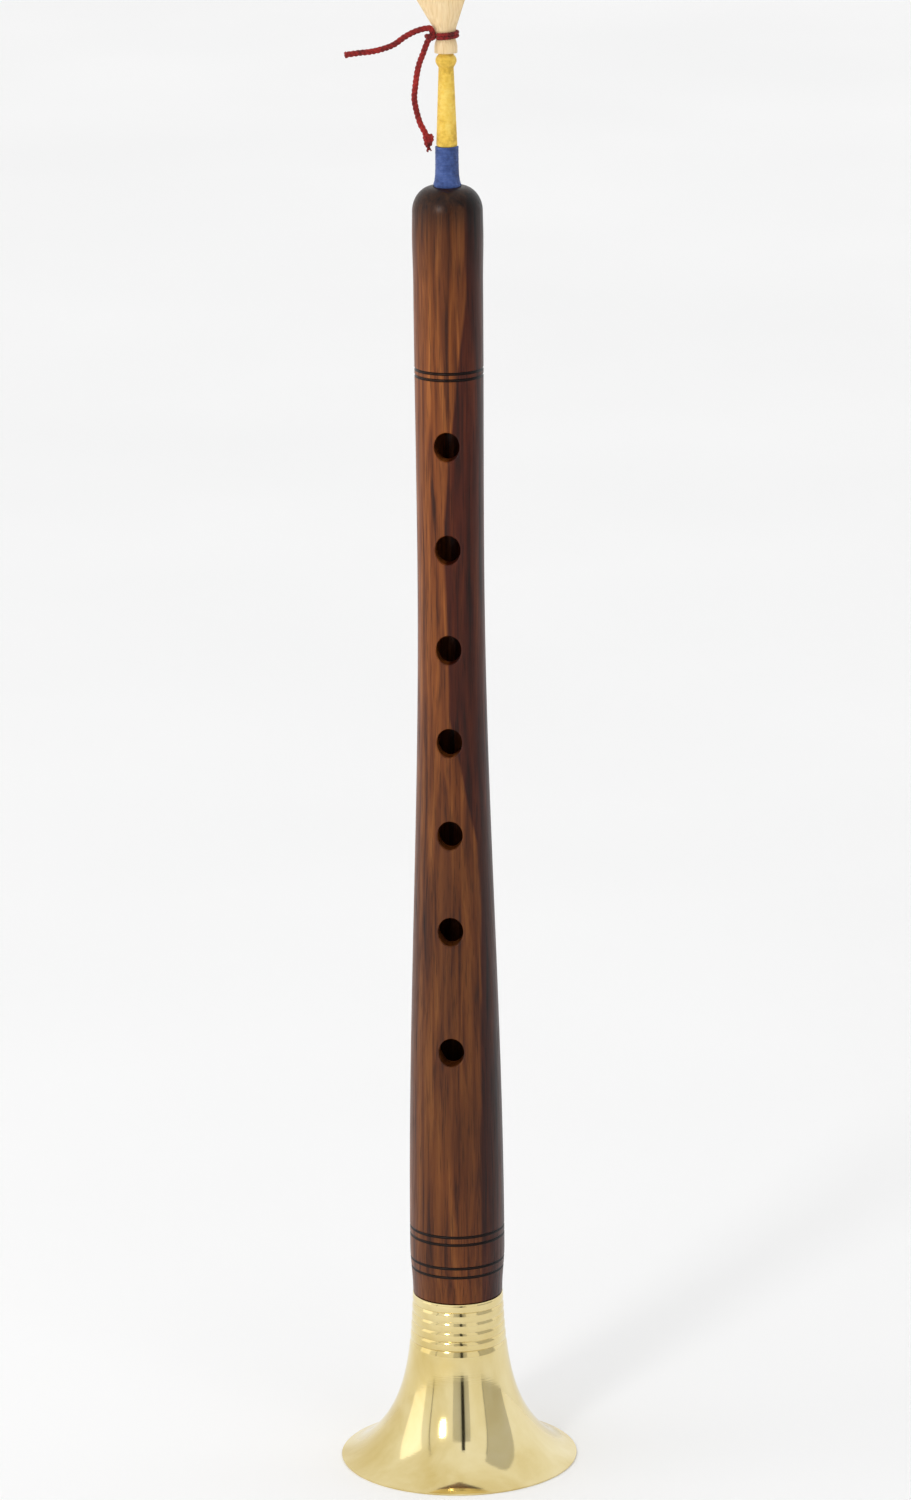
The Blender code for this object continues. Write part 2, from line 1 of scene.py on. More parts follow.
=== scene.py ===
# %% [markdown]
# A shehnai is a short conical oboe: a turned rosewood pipe, a spun brass bell, a brass staple
# wound with thread, and a reed of four cane leaves tied with a red cord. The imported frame
# already says where each piece sits, so this lesson only makes the fine surfaces around it.

# %% Load the frame
import math
import random

import bmesh
import bpy
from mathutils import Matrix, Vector


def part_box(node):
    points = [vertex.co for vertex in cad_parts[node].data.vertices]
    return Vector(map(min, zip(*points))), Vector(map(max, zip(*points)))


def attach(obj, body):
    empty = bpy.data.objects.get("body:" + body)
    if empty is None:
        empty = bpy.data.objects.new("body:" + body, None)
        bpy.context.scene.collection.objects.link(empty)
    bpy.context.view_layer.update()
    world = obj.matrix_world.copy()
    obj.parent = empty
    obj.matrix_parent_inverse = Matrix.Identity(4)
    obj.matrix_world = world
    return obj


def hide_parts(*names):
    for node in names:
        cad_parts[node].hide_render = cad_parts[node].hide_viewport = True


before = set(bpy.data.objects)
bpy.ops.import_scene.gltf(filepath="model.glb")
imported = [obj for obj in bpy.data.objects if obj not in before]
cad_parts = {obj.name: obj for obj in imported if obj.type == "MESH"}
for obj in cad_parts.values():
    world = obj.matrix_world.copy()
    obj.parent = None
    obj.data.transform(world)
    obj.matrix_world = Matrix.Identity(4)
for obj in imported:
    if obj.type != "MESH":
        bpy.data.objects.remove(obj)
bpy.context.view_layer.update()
random.seed(7)

# %% [markdown]
# Every later size hangs on a few heights, and the frame's boxes hold them. Reading the boxes
# keeps each fine piece exactly where its plain solid stands, with nothing fitted by eye.

# %% Heights from the frame
FACE_GAP = 0.0003
WINDING_GAP = 0.00015

BELL_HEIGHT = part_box("bell")[1][2]
BELL_MOUTH_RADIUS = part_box("bell")[1][0]
PIPE_FOOT_Z = BELL_HEIGHT + FACE_GAP
PIPE_TOP_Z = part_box("pipe")[1][2]
TENON_END_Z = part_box("pipe")[0][2]
PIPE_LENGTH = PIPE_TOP_Z - PIPE_FOOT_Z
STAPLE_FOOT_Z, STAPLE_TIP_Z = (corner[2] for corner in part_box("staple"))
BLUE_FOOT_Z, BLUE_TOP_Z = (corner[2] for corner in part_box("blue_winding"))
YELLOW_FOOT_Z, YELLOW_TOP_Z = (corner[2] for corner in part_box("yellow_winding"))
LAPPING_FOOT_Z, LAPPING_TOP_Z = (corner[2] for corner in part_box("bell_lapping"))
REED_FOOT_Z, REED_TIP_Z = (corner[2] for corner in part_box("reed_leaf_front_inner"))
print("pipe %.1f mm long, reed tip at %.1f mm" % (PIPE_LENGTH * 1000.0, REED_TIP_Z * 1000.0))

# %% [markdown]
# The camera stands where the photographer's did: far off with a long lens, a little above the
# instrument and a few degrees to its right, so the finger holes look slightly left of centre.

# %% Camera
CAMERA_DISTANCE = 2.146
CAMERA_HEIGHT = 0.823
CAMERA_YAW = math.radians(5.5)
CAMERA_PITCH = math.radians(15.166)
CAMERA_ROLL = math.radians(-0.55)
CAMERA_LENS = 165.0
SENSOR_WIDTH = 36.0
CAMERA_SHIFT_X = 0.0019
CAMERA_SHIFT_Y = 0.0018
VIEW_DEPTH = 50.0

camera_data = bpy.data.cameras.new("camera")
camera_data.lens = CAMERA_LENS
camera_data.sensor_width = SENSOR_WIDTH
camera_data.shift_x = CAMERA_SHIFT_X
camera_data.shift_y = CAMERA_SHIFT_Y
camera_data.clip_end = VIEW_DEPTH
camera = bpy.data.objects.new("camera", camera_data)
camera.location = (
    CAMERA_DISTANCE * math.sin(CAMERA_YAW), -CAMERA_DISTANCE * math.cos(CAMERA_YAW), CAMERA_HEIGHT)
camera.rotation_mode = "XYZ"
camera.rotation_euler = (math.radians(90.0) - CAMERA_PITCH, 0.0, CAMERA_YAW)
camera.rotation_euler.rotate_axis("Z", CAMERA_ROLL)
bpy.context.scene.collection.objects.link(camera)
bpy.context.scene.camera = camera
bpy.context.scene.view_settings.view_transform = "Standard"
print("camera lens %.0f mm" % CAMERA_LENS)

# %% [markdown]
# Colours are easiest to judge on a screen, where they are written as 0 to 255. Shaders want
# linear light, so one small function turns the first into the second.

# %% Screen colours


def screen_colour(red, green, blue):
    channels = []
    for value in (red, green, blue):
        share = value / 255.0
        channels.append(share / 12.92 if share <= 0.04045 else ((share + 0.055) / 1.055) ** 2.4)
    return (*channels, 1.0)


print("a screen's middle grey is %.3f of full light" % screen_colour(128, 128, 128)[0])

# %% [markdown]
# A material is a tree of nodes, and every finish here is made of the same few kinds: noise
# stretched into grain, a ramp that turns it into colours, and a blend of two colours. A short
# function for each leaves in a finish only the lines that say how the real surface looks.

# %% Node helpers


def add_node(tree, kind, inputs=None, **settings):
    """A node whose inputs are either linked from a socket or set to a value."""
    made = tree.nodes.new(kind)
    for name, value in settings.items():
        setattr(made, name, value)
    for name, value in (inputs or {}).items():
        if isinstance(value, bpy.types.NodeSocket):
            tree.links.new(value, made.inputs[name])
        else:
            made.inputs[name].default_value = value
    return made


def grain(tree, stretch, scale, detail=4.0, distortion=0.0):
    """Noise on Object coordinates, drawn out where stretch is small."""
    place = add_node(tree, "ShaderNodeTexCoord").outputs["Object"]
    mapping = add_node(tree, "ShaderNodeMapping", {"Vector": place, "Scale": stretch})
    made = add_node(tree, "ShaderNodeTexNoise", {
        "Vector": mapping.outputs[0], "Scale": scale, "Detail": detail, "Distortion": distortion})
    return made.outputs[0]


def ramp(tree, share, stops):
    """A colour ramp through (position, colour) stops."""
    made = add_node(tree, "ShaderNodeValToRGB", {"Fac": share})
    elements = made.color_ramp.elements
    while len(elements) < len(stops):
        elements.new(0.5)
    for element, (position, colour) in zip(elements, stops):
        element.position = position
        element.color = colour
    return made.outputs["Color"]


def grey(value):
    return (value, value, value, 1.0)


def blend_colours(tree, share, first, second, how="MIX"):
    made = add_node(
        tree, "ShaderNodeMix", {0: share, 6: first, 7: second}, data_type="RGBA", blend_type=how)
    return made.outputs[2]


def maths(tree, operation, first, second=0.0):
    made = add_node(tree, "ShaderNodeMath", {0: first, 1: second}, operation=operation)
    return made.outputs[0]


def bump(tree, height, distance, strength=1.0):
    made = add_node(tree, "ShaderNodeBump", {
        "Height": height, "Distance": distance, "Strength": strength})
    return made.outputs[0]


def new_material(name):
    material = bpy.data.materials.new(name)
    material.use_nodes = True
    tree = material.node_tree
    return material, tree, tree.nodes["Principled BSDF"]


def dress(tree, shader, colour=None, roughness=None, normal=None):
    for name, socket in (("Base Color", colour), ("Roughness", roughness), ("Normal", normal)):
        if socket is not None:
            tree.links.new(socket, shader.inputs[name])


print("node helpers ready")

# %% [markdown]
# Rosewood is brown with near-black streaks that run along the pipe. Here its left side is warm
# orange-brown and its right side much darker, with a crisp line between the two that wanders
# down the pipe. The head is almost black. Noise stretched along Z gives streaks and pores.

# %% Rosewood
# Each pair of grooves has the height of its middle above the pipe's foot, and its spacing.
GROOVE_PAIRS = ((0.0108, 0.0032), (0.0219, 0.0026), (PIPE_LENGTH - 0.0596, 0.0021))
# How far the painted groove shade reaches on either side of a groove's line.
GROOVE_SHADE_REACH = 0.0005
SIDE_REACH = 0.026
SIDE_WANDER = 0.10
SIDE_CRISPNESS = 12.0


def multiply(tree, colour, shade):
    return blend_colours(tree, 1.0, colour, shade, "MULTIPLY")


def rosewood_edge(tree, height):
    """How far right the pale side reaches at each height, as a share of the side's reach."""
    return ramp(tree, height, [
        (0.00, grey(0.86)), (0.45, grey(0.90)), (0.50, grey(0.86)), (0.60, grey(0.53)),
        (0.75, grey(0.50)), (0.81, grey(0.58)), (0.92, grey(0.78))])


def rosewood_side(tree, x, height, clouds):
    """Black on the pale side and white on the dark side, with a crisp edge between them."""
    wander = maths(tree, "MULTIPLY", maths(tree, "SUBTRACT", clouds, 0.5), SIDE_WANDER)
    across = maths(tree, "ADD", maths(tree, "DIVIDE", x, SIDE_REACH), 0.5)
    edge = rosewood_edge(tree, height)
    beyond = maths(tree, "SUBTRACT", maths(tree, "ADD", across, wander), edge)
    # The node adds its own third value, 0.5, which sets where the crisp edge begins.
    return ramp(tree, maths(tree, "MULTIPLY_ADD", beyond, SIDE_CRISPNESS), [
        (0.0, grey(0.0)), (0.35, grey(1.0))])


def paint_groove_shade(tree, colour, z):
    """Painted shade: a dark line along each turned groove, where shadow falls in its hollow."""
    for middle, spacing in GROOVE_PAIRS:
        for side in (-1, 1):
            level = PIPE_FOOT_Z + middle + side * spacing / 2.0
            near = add_node(
                tree, "ShaderNodeMath", {0: z, 1: level, 2: GROOVE_SHADE_REACH}, operation="COMPARE")
            line = ramp(tree, near.outputs[0], [(0.0, grey(1.0)), (1.0, grey(0.10))])
            colour = multiply(tree, colour, line)
    return colour


def make_rosewood():
    material, tree, shader = new_material("Rosewood")
    place = add_node(tree, "ShaderNodeTexCoord").outputs["Object"]
    split = add_node(tree, "ShaderNodeSeparateXYZ", {0: place})
    height = maths(tree, "DIVIDE", split.outputs["Z"], PIPE_TOP_Z)
    streaks = grain(tree, (1.0, 1.0, 0.045), scale=420.0, detail=7.0, distortion=0.8)
    pores = grain(tree, (1.0, 1.0, 0.03), scale=2600.0, detail=3.0)
    clouds = grain(tree, (1.0, 1.0, 0.25), scale=60.0, detail=4.0, distortion=0.5)

    pale = ramp(tree, streaks, [
        (0.30, screen_colour(62, 26, 8)), (0.42, screen_colour(112, 56, 20)),
        (0.56, screen_colour(138, 76, 30)), (0.72, screen_colour(164, 98, 44))])
    dark = ramp(tree, streaks, [
        (0.30, screen_colour(32, 8, 2)), (0.46, screen_colour(64, 20, 6)),
        (0.60, screen_colour(80, 30, 9)), (0.76, screen_colour(102, 46, 16))])
    side = rosewood_side(tree, split.outputs["X"], height, clouds)
    colour = blend_colours(tree, side, pale, dark)

    shaded = ramp(tree, height, [
        (0.12, grey(0.72)), (0.30, grey(0.52)), (0.50, grey(0.60)), (0.62, grey(0.90)),
        (0.85, grey(1.0)), (0.93, grey(0.80)), (0.968, grey(0.52)), (0.992, grey(0.10))])
    cloudy = ramp(tree, clouds, [(0.3, grey(0.74)), (0.7, grey(1.14))])
    pitted = ramp(tree, pores, [(0.34, grey(0.55)), (0.46, grey(1.0))])
    for shade in (shaded, cloudy, pitted):
        colour = multiply(tree, colour, shade)
    # Painted shade: a dark line along each turned groove.
    colour = paint_groove_shade(tree, colour, split.outputs["Z"])

    rough = ramp(tree, pores, [(0.3, grey(0.52)), (0.6, grey(0.33))])
    dress(tree, shader, colour, rough, bump(tree, pores, distance=0.00006, strength=0.6))
    shader.inputs["Specular IOR Level"].default_value = 0.18
    shader.inputs["Coat Weight"].default_value = 0.10
    shader.inputs["Coat Roughness"].default_value = 0.25
    return material


ROSEWOOD = make_rosewood()
print("rosewood mixed")

# %% [markdown]
# The bell is thin spun brass, bright but not mirror-clean: fine rings are left by the spinning
# tool, and handling leaves faint cloudy patches. Metal has no colour of its own beyond its
# reflections, so most of its look comes from the lights set up at the end.

# %% Brass


def make_brass():
    material, tree, shader = new_material("Spun brass")
    clouds = grain(tree, (1.0, 1.0, 0.7), scale=45.0, detail=5.0, distortion=0.4)
    rings = grain(tree, (0.02, 0.02, 1.0), scale=2200.0, detail=2.0)
    colour = ramp(tree, clouds, [
        (0.30, screen_colour(214, 190, 122)), (0.52, screen_colour(232, 214, 158)),
        (0.75, screen_colour(242, 228, 182))])
    rough = ramp(tree, clouds, [(0.3, grey(0.13)), (0.7, grey(0.06))])
    dress(tree, shader, colour, rough, bump(tree, rings, distance=0.00003, strength=0.35))
    shader.inputs["Metallic"].default_value = 1.0
    return material


BRASS = make_brass()
print("brass mixed")

# %% [markdown]
# Cotton thread and cord scatter light from many loose fibres. A little sheen lifts their edges,
# and fine noise breaks up the colour the way uneven dye does. The reed is dried cane, and its
# colour is noise too, drawn out along the cane into fibres, with a few darker flecks.

# %% Thread, cord and cane
FUZZ_SCALE = 900.0
PATCH_SCALE = 180.0


def make_fibre(name, low, middle, high, sheen):
    """Dyed cotton in three screen colours, from the darkest to the palest."""
    material, tree, shader = new_material(name)
    fuzz = grain(tree, (1.0, 1.0, 1.0), scale=FUZZ_SCALE, detail=5.0)
    patches = grain(tree, (1.0, 1.0, 1.0), scale=PATCH_SCALE, detail=2.0)
    mixed = maths(tree, "MULTIPLY", maths(tree, "ADD", fuzz, patches), 0.5)
    colour = ramp(tree, mixed, [
        (0.34, screen_colour(*low)), (0.5, screen_colour(*middle)), (0.66, screen_colour(*high))])
    dress(tree, shader, colour, None, bump(tree, fuzz, distance=0.00008, strength=0.5))
    shader.inputs["Roughness"].default_value = 0.85
    shader.inputs["Sheen Weight"].default_value = sheen
    return material


def make_cane():
    """Dried cane: pale straw with fibres along its length and darker flecks."""
    material, tree, shader = new_material("Cane")
    fibres = grain(tree, (1.0, 1.0, 0.05), scale=2400.0, detail=5.0, distortion=0.3)
    flecks = grain(tree, (1.0, 1.0, 0.22), scale=380.0, detail=3.0)
    base = ramp(tree, fibres, [
        (0.30, screen_colour(222, 190, 138)), (0.48, screen_colour(236, 207, 158)),
        (0.70, screen_colour(244, 219, 174))])
    spots = ramp(tree, flecks, [(0.28, grey(0.84)), (0.40, grey(1.0))])
    colour = multiply(tree, base, spots)
    dress(tree, shader, colour, None, bump(tree, fibres, distance=0.00007, strength=0.6))
    shader.inputs["Roughness"].default_value = 0.52
    shader.inputs["Subsurface Weight"].default_value = 0.12
    shader.inputs["Subsurface Radius"].default_value = (0.0010, 0.0006, 0.0003)
    return material


YELLOW_THREAD = make_fibre(
    "Yellow thread", (214, 176, 62), (244, 208, 88), (252, 224, 118), sheen=0.15)
BLUE_THREAD = make_fibre(
    "Blue thread", (36, 56, 108), (62, 88, 150), (86, 110, 172), sheen=0.2)
PACKING_THREAD = make_fibre(
    "Packing thread", (176, 156, 118), (212, 194, 156), (230, 214, 180), sheen=0.2)
RED_CORD = make_fibre(
    "Red cord", (88, 6, 6), (146, 20, 16), (172, 36, 28), sheen=0.12)
CANE = make_cane()
print("thread, cord and cane mixed")

# %% [markdown]
# Most of this instrument was turned on a lathe, so most pieces are a profile spun about Z. The
# helper below spins a closed outline, merges the seam and turns the faces outwards.

# %% Turning and finishing helpers
SHARP_ANGLE = 35.0
MERGE_DISTANCE = 0.000001


def turn_outline(shape, outline, sides):
    """Spins a closed outline of (radius, height) points about Z into a solid of revolution."""
    verts = [shape.verts.new((radius, 0.0, height)) for radius, height in outline]
    edges = [shape.edges.new((verts[i - 1], verts[i])) for i in range(len(verts))]
    bmesh.ops.spin(
        shape, geom=verts + edges, cent=(0.0, 0.0, 0.0), axis=(0.0, 0.0, 1.0),
        angle=math.tau, steps=sides, use_merge=True, use_duplicate=False)
    bmesh.ops.remove_doubles(shape, verts=shape.verts, dist=MERGE_DISTANCE)
    bmesh.ops.recalc_face_normals(shape, faces=shape.faces)


def mesh_object(name, shape, material=None):
    """Makes the bmesh an object in the scene, with its material."""
    mesh = bpy.data.meshes.new(name)
    shape.to_mesh(mesh)
    shape.free()
    if material:
        mesh.materials.append(material)
    made = bpy.data.objects.new(name, mesh)
    bpy.context.scene.collection.objects.link(made)
    return made


def smooth_shading(mesh, sharp):
    """Shades the mesh smooth, but for the edges that turn more than the sharp angle."""
    mesh.shade_smooth()
    mesh.set_sharp_from_angle(angle=math.radians(sharp))


def add_piece(name, shape, material, body, nodes, sharp=SHARP_ANGLE):
    """Makes the bmesh an object that rides on a body and stands for its plain solids."""
    piece = mesh_object(name, shape, material)
    smooth_shading(piece.data, sharp)
    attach(piece, body)
    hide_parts(*nodes)
    print("%s: %d faces" % (name, len(piece.data.polygons)))
    return piece


print("turning helpers ready")

# %% [markdown]
# The bell flares in a long curve that follows a falling exponential, then curls out at its rim.
# Five rounded ribs stand on its neck where the brass meets the wood.

# %% Bell profile
THROAT_RADIUS = 0.0144
BELL_WALL = 0.0010
RIM_EDGE_HEIGHT = 0.0006
RIM_EDGE_ROUNDING = 0.0002
FLARE_LENGTH = 0.0151
RIM_CURL_WIDTH = 0.0023
RIM_CURL_LENGTH = 0.0011
RIB_COUNT = 5
RIB_PITCH = 0.00325
RIB_DEPTH = 0.0004
SLOPE_STEP = 0.00005


def flare_radius(height):
    above_edge = height - RIM_EDGE_HEIGHT
    width = BELL_MOUTH_RADIUS - THROAT_RADIUS - RIM_CURL_WIDTH
    flare = width * math.exp(-above_edge / FLARE_LENGTH)
    return THROAT_RADIUS + flare + RIM_CURL_WIDTH * math.exp(-above_edge / RIM_CURL_LENGTH)


def rib_radius(height):
    ripple = abs(math.sin(math.pi * (BELL_HEIGHT - height) / RIB_PITCH))
    return flare_radius(height) - RIB_DEPTH * (1.0 - ripple) ** 2


def bell_inner_radius(height):
    """The wall keeps one thickness, measured square to the flare's slope."""
    slope = (flare_radius(height) - flare_radius(height + SLOPE_STEP)) / SLOPE_STEP
    return flare_radius(height) - BELL_WALL * math.hypot(1.0, slope)


LIP_RADIUS = flare_radius(BELL_HEIGHT)
print("bell lip %.2f mm in radius" % (LIP_RADIUS * 1000.0))

# %% [markdown]
# The outline goes down the ribs and the flare, round the rim and back up inside to the socket
# that holds the pipe. Its steps crowd together near the rim, where the curve turns fastest, so
# the rim stays round without filling the long neck with faces.

# %% Spun bell
BELL_SIDES = 192
STEPS_PER_RIB = 14
FLARE_STEPS = 60
THROAT_STEPS = 40
STEP_CROWDING = 1.6
LIP_FLAT_INSET = 0.0003
LIP_ROUND_INSET = 0.0001
RIBS_DROP = 0.0002
RIBS_LENGTH = RIB_COUNT * RIB_PITCH
RIBS_FOOT = BELL_HEIGHT - RIBS_LENGTH
TENON_LENGTH = PIPE_FOOT_Z - TENON_END_Z
SOCKET_FOOT = BELL_HEIGHT - TENON_LENGTH - FACE_GAP


def bell_outside():
    """The lip, the ribs, the flare and the rounded rim, from the top down."""
    points = [
        (LIP_RADIUS - LIP_FLAT_INSET, BELL_HEIGHT),
        (LIP_RADIUS - LIP_ROUND_INSET, BELL_HEIGHT - LIP_ROUND_INSET)]
    rib_steps = RIB_COUNT * STEPS_PER_RIB
    for i in range(1, rib_steps + 1):
        height = BELL_HEIGHT - RIBS_DROP - i * (RIBS_LENGTH - RIBS_DROP) / rib_steps
        points.append((rib_radius(height), height))
    for i in range(1, FLARE_STEPS + 1):
        share = (1.0 - i / FLARE_STEPS) ** STEP_CROWDING
        height = RIM_EDGE_HEIGHT + (RIBS_FOOT - RIM_EDGE_HEIGHT) * share
        points.append((flare_radius(height), height))
    points.append((BELL_MOUTH_RADIUS, RIM_EDGE_HEIGHT / 2.0))
    points.append((BELL_MOUTH_RADIUS - RIM_EDGE_ROUNDING, 0.0))
    return points


def bell_inside():
    """The inside of the flare and the socket above it, from the mouth up."""
    points = []
    for i in range(THROAT_STEPS):
        height = SOCKET_FOOT * (i / THROAT_STEPS) ** STEP_CROWDING
        points.append((bell_inner_radius(height + RIM_EDGE_HEIGHT), height))
    points.append((bell_inner_radius(SOCKET_FOOT), SOCKET_FOOT - BELL_WALL))
    points.append((LIP_RADIUS - BELL_WALL, SOCKET_FOOT))
    points.append((LIP_RADIUS - BELL_WALL, BELL_HEIGHT))
    return points


def make_bell():
    shape = bmesh.new()
    turn_outline(shape, bell_outside() + bell_inside(), BELL_SIDES)
    add_piece("spun_bell", shape, BRASS, "bell", ["bell"])


make_bell()

# %% [markdown]
# The pipe is a slow cone with a swollen foot and a rounded head. Three pairs of thin grooves
# are cut into it on the lathe, and seven oval finger holes are drilled from the front.

# %% Pipe profile
SHOULDER_HEIGHT = 0.0081
SHOULDER_RADIUS = 0.01125
SOCKET_RADIUS = 0.0045
FOOT_INSET = 0.0002
# Heights above the pipe's foot, each with the radius turned there.
PIPE_STATIONS = (
    (0.0, LIP_RADIUS - FOOT_INSET),
    (0.0163, 0.01556),
    (0.2463, 0.01076),
    (PIPE_LENGTH - 0.0321, 0.01112),
    (PIPE_LENGTH - 0.0153, 0.01136),
    (PIPE_LENGTH - SHOULDER_HEIGHT, SHOULDER_RADIUS),
)
GROOVE_WIDTH = 0.0009
GROOVE_DEPTH = 0.0004
GROOVE_STEPS = 8
GROOVE_CLEARANCE = 0.7 * GROOVE_WIDTH
SHOULDER_STEPS = 18
PIPE_STEP = 0.0017


def pipe_radius(height):
    """Radius above the foot, eased from one turned size to the next."""
    upper = 1
    while upper < len(PIPE_STATIONS) - 1 and height > PIPE_STATIONS[upper][0]:
        upper += 1
    low_height, low_radius = PIPE_STATIONS[upper - 1]
    high_height, high_radius = PIPE_STATIONS[upper]
    share = min(max((height - low_height) / (high_height - low_height), 0.0), 1.0)
    return low_radius + (high_radius - low_radius) * (1.0 - math.cos(math.pi * share)) / 2.0


def shoulder_points(top):
    """A quarter of an ellipse, from the socket's edge out to the side of the head."""
    points = []
    for i in range(SHOULDER_STEPS + 1):
        turn = math.radians(90.0) * i / SHOULDER_STEPS
        radius = SOCKET_RADIUS + (SHOULDER_RADIUS - SOCKET_RADIUS) * math.cos(turn)
        points.append((radius, top + SHOULDER_HEIGHT * math.sin(turn)))
    return points


def groove_points(groove):
    """One rounded groove, cut into the side at its height."""
    points = []
    for i in range(GROOVE_STEPS + 1):
        share = i / GROOVE_STEPS - 0.5
        height = groove + share * GROOVE_WIDTH
        points.append((pipe_radius(height) - GROOVE_DEPTH * math.cos(math.pi * share), height))
    return points


def pipe_side_points():
    """The turned side with its grooves, from the head down to the foot."""
    top = PIPE_LENGTH - SHOULDER_HEIGHT
    points = shoulder_points(top)
    grooves = [middle + side * spacing / 2.0
               for middle, spacing in GROOVE_PAIRS for side in (-1, 1)]
    runs = math.ceil(top / PIPE_STEP)
    for i in range(runs):
        height = top * i / runs
        if all(abs(height - groove) > GROOVE_CLEARANCE for groove in grooves):
            points.append((pipe_radius(height), height))
    for groove in grooves:
        points += groove_points(groove)
    return sorted(points, key=lambda point: -point[1])


print("pipe side drawn with %d points" % len(pipe_side_points()))

# %% [markdown]
# A finger hole has a small worn bevel where it meets the round wood. The cutter's rings are
# laid on the pipe's own curve, so the bevel keeps one width all the way round.

# %% Finger hole cutters
LOWEST_HOLE_HEIGHT = 0.0863
HOLE_STEPS = (0.0, 0.0406, 0.0321, 0.0307, 0.0307, 0.0329, 0.0337)
HOLE_WIDTH = 0.0082
HOLE_LENGTH = 0.0096
HOLE_BEVEL = 0.0003
HOLE_SIDES = 56
PEG_STAND_OUT = 0.004
PEG_SKIN = 0.00002
PEG_END_Y = -0.001


def add_hole_cutter(shape, height):
    """An oval peg from in front of the pipe into its bore, with a bevel at the surface."""
    radius = pipe_radius(height)
    ring = bmesh.ops.create_circle(shape, segments=HOLE_SIDES, radius=1.0)["verts"]
    edges = list({edge for vert in ring for edge in vert.link_edges})
    first_edges = edges
    for vert in ring:
        vert.co = Vector((vert.co.x, 0.0, vert.co.y))
    half_width, half_length = 1.0, 1.0
    # Each ring has how much wider than the hole it is and how deep it lies under the pipe's
    # surface. The last ring is flat and lies inside the bore.
    rings = ((HOLE_BEVEL, -PEG_STAND_OUT), (HOLE_BEVEL, -PEG_SKIN), (0.0, HOLE_BEVEL), (0.0, None))
    placed = []
    for wider, depth in rings:
        if placed:
            new = bmesh.ops.extrude_edge_only(shape, edges=edges)["geom"]
            ring = [item for item in new if isinstance(item, bmesh.types.BMVert)]
            edges = [item for item in new
                     if isinstance(item, bmesh.types.BMEdge) and item.is_boundary]
        wide, long = HOLE_WIDTH / 2.0 + wider, HOLE_LENGTH / 2.0 + wider
        for vert in ring:
            x = vert.co.x / half_width * wide
            surface = -math.sqrt(radius ** 2 - x ** 2)
            y = PEG_END_Y if depth is None else surface + depth
            vert.co = Vector((x, y, vert.co.z / half_length * long))
        half_width, half_length = wide, long
        placed += ring
    bmesh.ops.edgeloop_fill(shape, edges=first_edges)
    bmesh.ops.edgeloop_fill(shape, edges=edges)
    for vert in placed:
        vert.co.z += PIPE_FOOT_Z + height


def finger_hole_pegs():
    """All seven cutters as one object."""
    pegs = bmesh.new()
    height = LOWEST_HOLE_HEIGHT
    for step in HOLE_STEPS:
        height += step
        add_hole_cutter(pegs, height)
    bmesh.ops.recalc_face_normals(pegs, faces=pegs.faces)
    return mesh_object("hole_pegs", pegs)


print("%d finger holes, the lowest %.1f mm up the pipe" % (
    len(HOLE_STEPS), LOWEST_HOLE_HEIGHT * 1000.0))

# %% [markdown]
# The pipe is turned in one piece from its head down to the tenon that plugs into the bell, with
# a tapering bore up its middle. Then the holes are bored: a Boolean modifier takes the pegs
# away, and its result is kept as the pipe's own mesh, so that the pegs can be thrown away.

# %% Turned and bored pipe
PIPE_SIDES = 160
TENON_CHAMFER = 0.0003
SOCKET_DEPTH = 0.0180
BORE_TOP_RADIUS = 0.0040
BORE_FOOT_RADIUS = 0.0090
LAPPING_THICKNESS = 0.0005
LAPPING_RADIUS = LIP_RADIUS - BELL_WALL - FACE_GAP
TENON_RADIUS = LAPPING_RADIUS - LAPPING_THICKNESS - WINDING_GAP


def turn_pipe():
    outline = [(radius, PIPE_FOOT_Z + height) for radius, height in pipe_side_points()]
    outline.append((TENON_RADIUS, PIPE_FOOT_Z))
    outline.append((TENON_RADIUS, TENON_END_Z + TENON_CHAMFER))
    outline.append((TENON_RADIUS - TENON_CHAMFER, TENON_END_Z))
    outline.append((BORE_FOOT_RADIUS, TENON_END_Z))
    outline.append((BORE_TOP_RADIUS, PIPE_TOP_Z - SOCKET_DEPTH))
    outline.append((SOCKET_RADIUS, PIPE_TOP_Z - SOCKET_DEPTH))
    shape = bmesh.new()
    turn_outline(shape, outline, PIPE_SIDES)
    return add_piece("turned_pipe", shape, ROSEWOOD, "pipe", ["pipe"])


def bore_finger_holes(pipe):
    pegs = finger_hole_pegs()
    holes = pipe.modifiers.new("Finger holes", "BOOLEAN")
    holes.operation = "DIFFERENCE"
    holes.solver = "EXACT"
    holes.object = pegs
    bpy.context.view_layer.update()
    graph = bpy.context.evaluated_depsgraph_get()
    bored = bpy.data.meshes.new_from_object(pipe.evaluated_get(graph))
    pipe.modifiers.remove(holes)
    pipe.data = bored
    bored.name = "turned_pipe"
    smooth_shading(bored, SHARP_ANGLE)
    bpy.data.objects.remove(pegs, do_unlink=True)
    print("pipe bored: %d faces" % len(bored.polygons))


bore_finger_holes(turn_pipe())

# %% [markdown]
# Each winding is one thread laid turn beside turn. A small circle spun round the axis with a
# steady rise is a coil of even radius, and moving its points out to the winding's own profile
# lays it on the taper. A smooth core under it closes the chinks between turns.

# %% Winding helper
COIL_BASE_RADIUS = 0.01
THREAD_SIDES = 6
# A thread wound by hand rises and sinks a little: one wave runs by turns, the other by height.
UNEVEN_SHARE = 0.06
UNEVEN_BY_TURN = 2.1
UNEVEN_BY_HEIGHT = 1900.0
STAPLE_FOOT_RADIUS = 0.0032
STAPLE_TIP_RADIUS = 0.00145


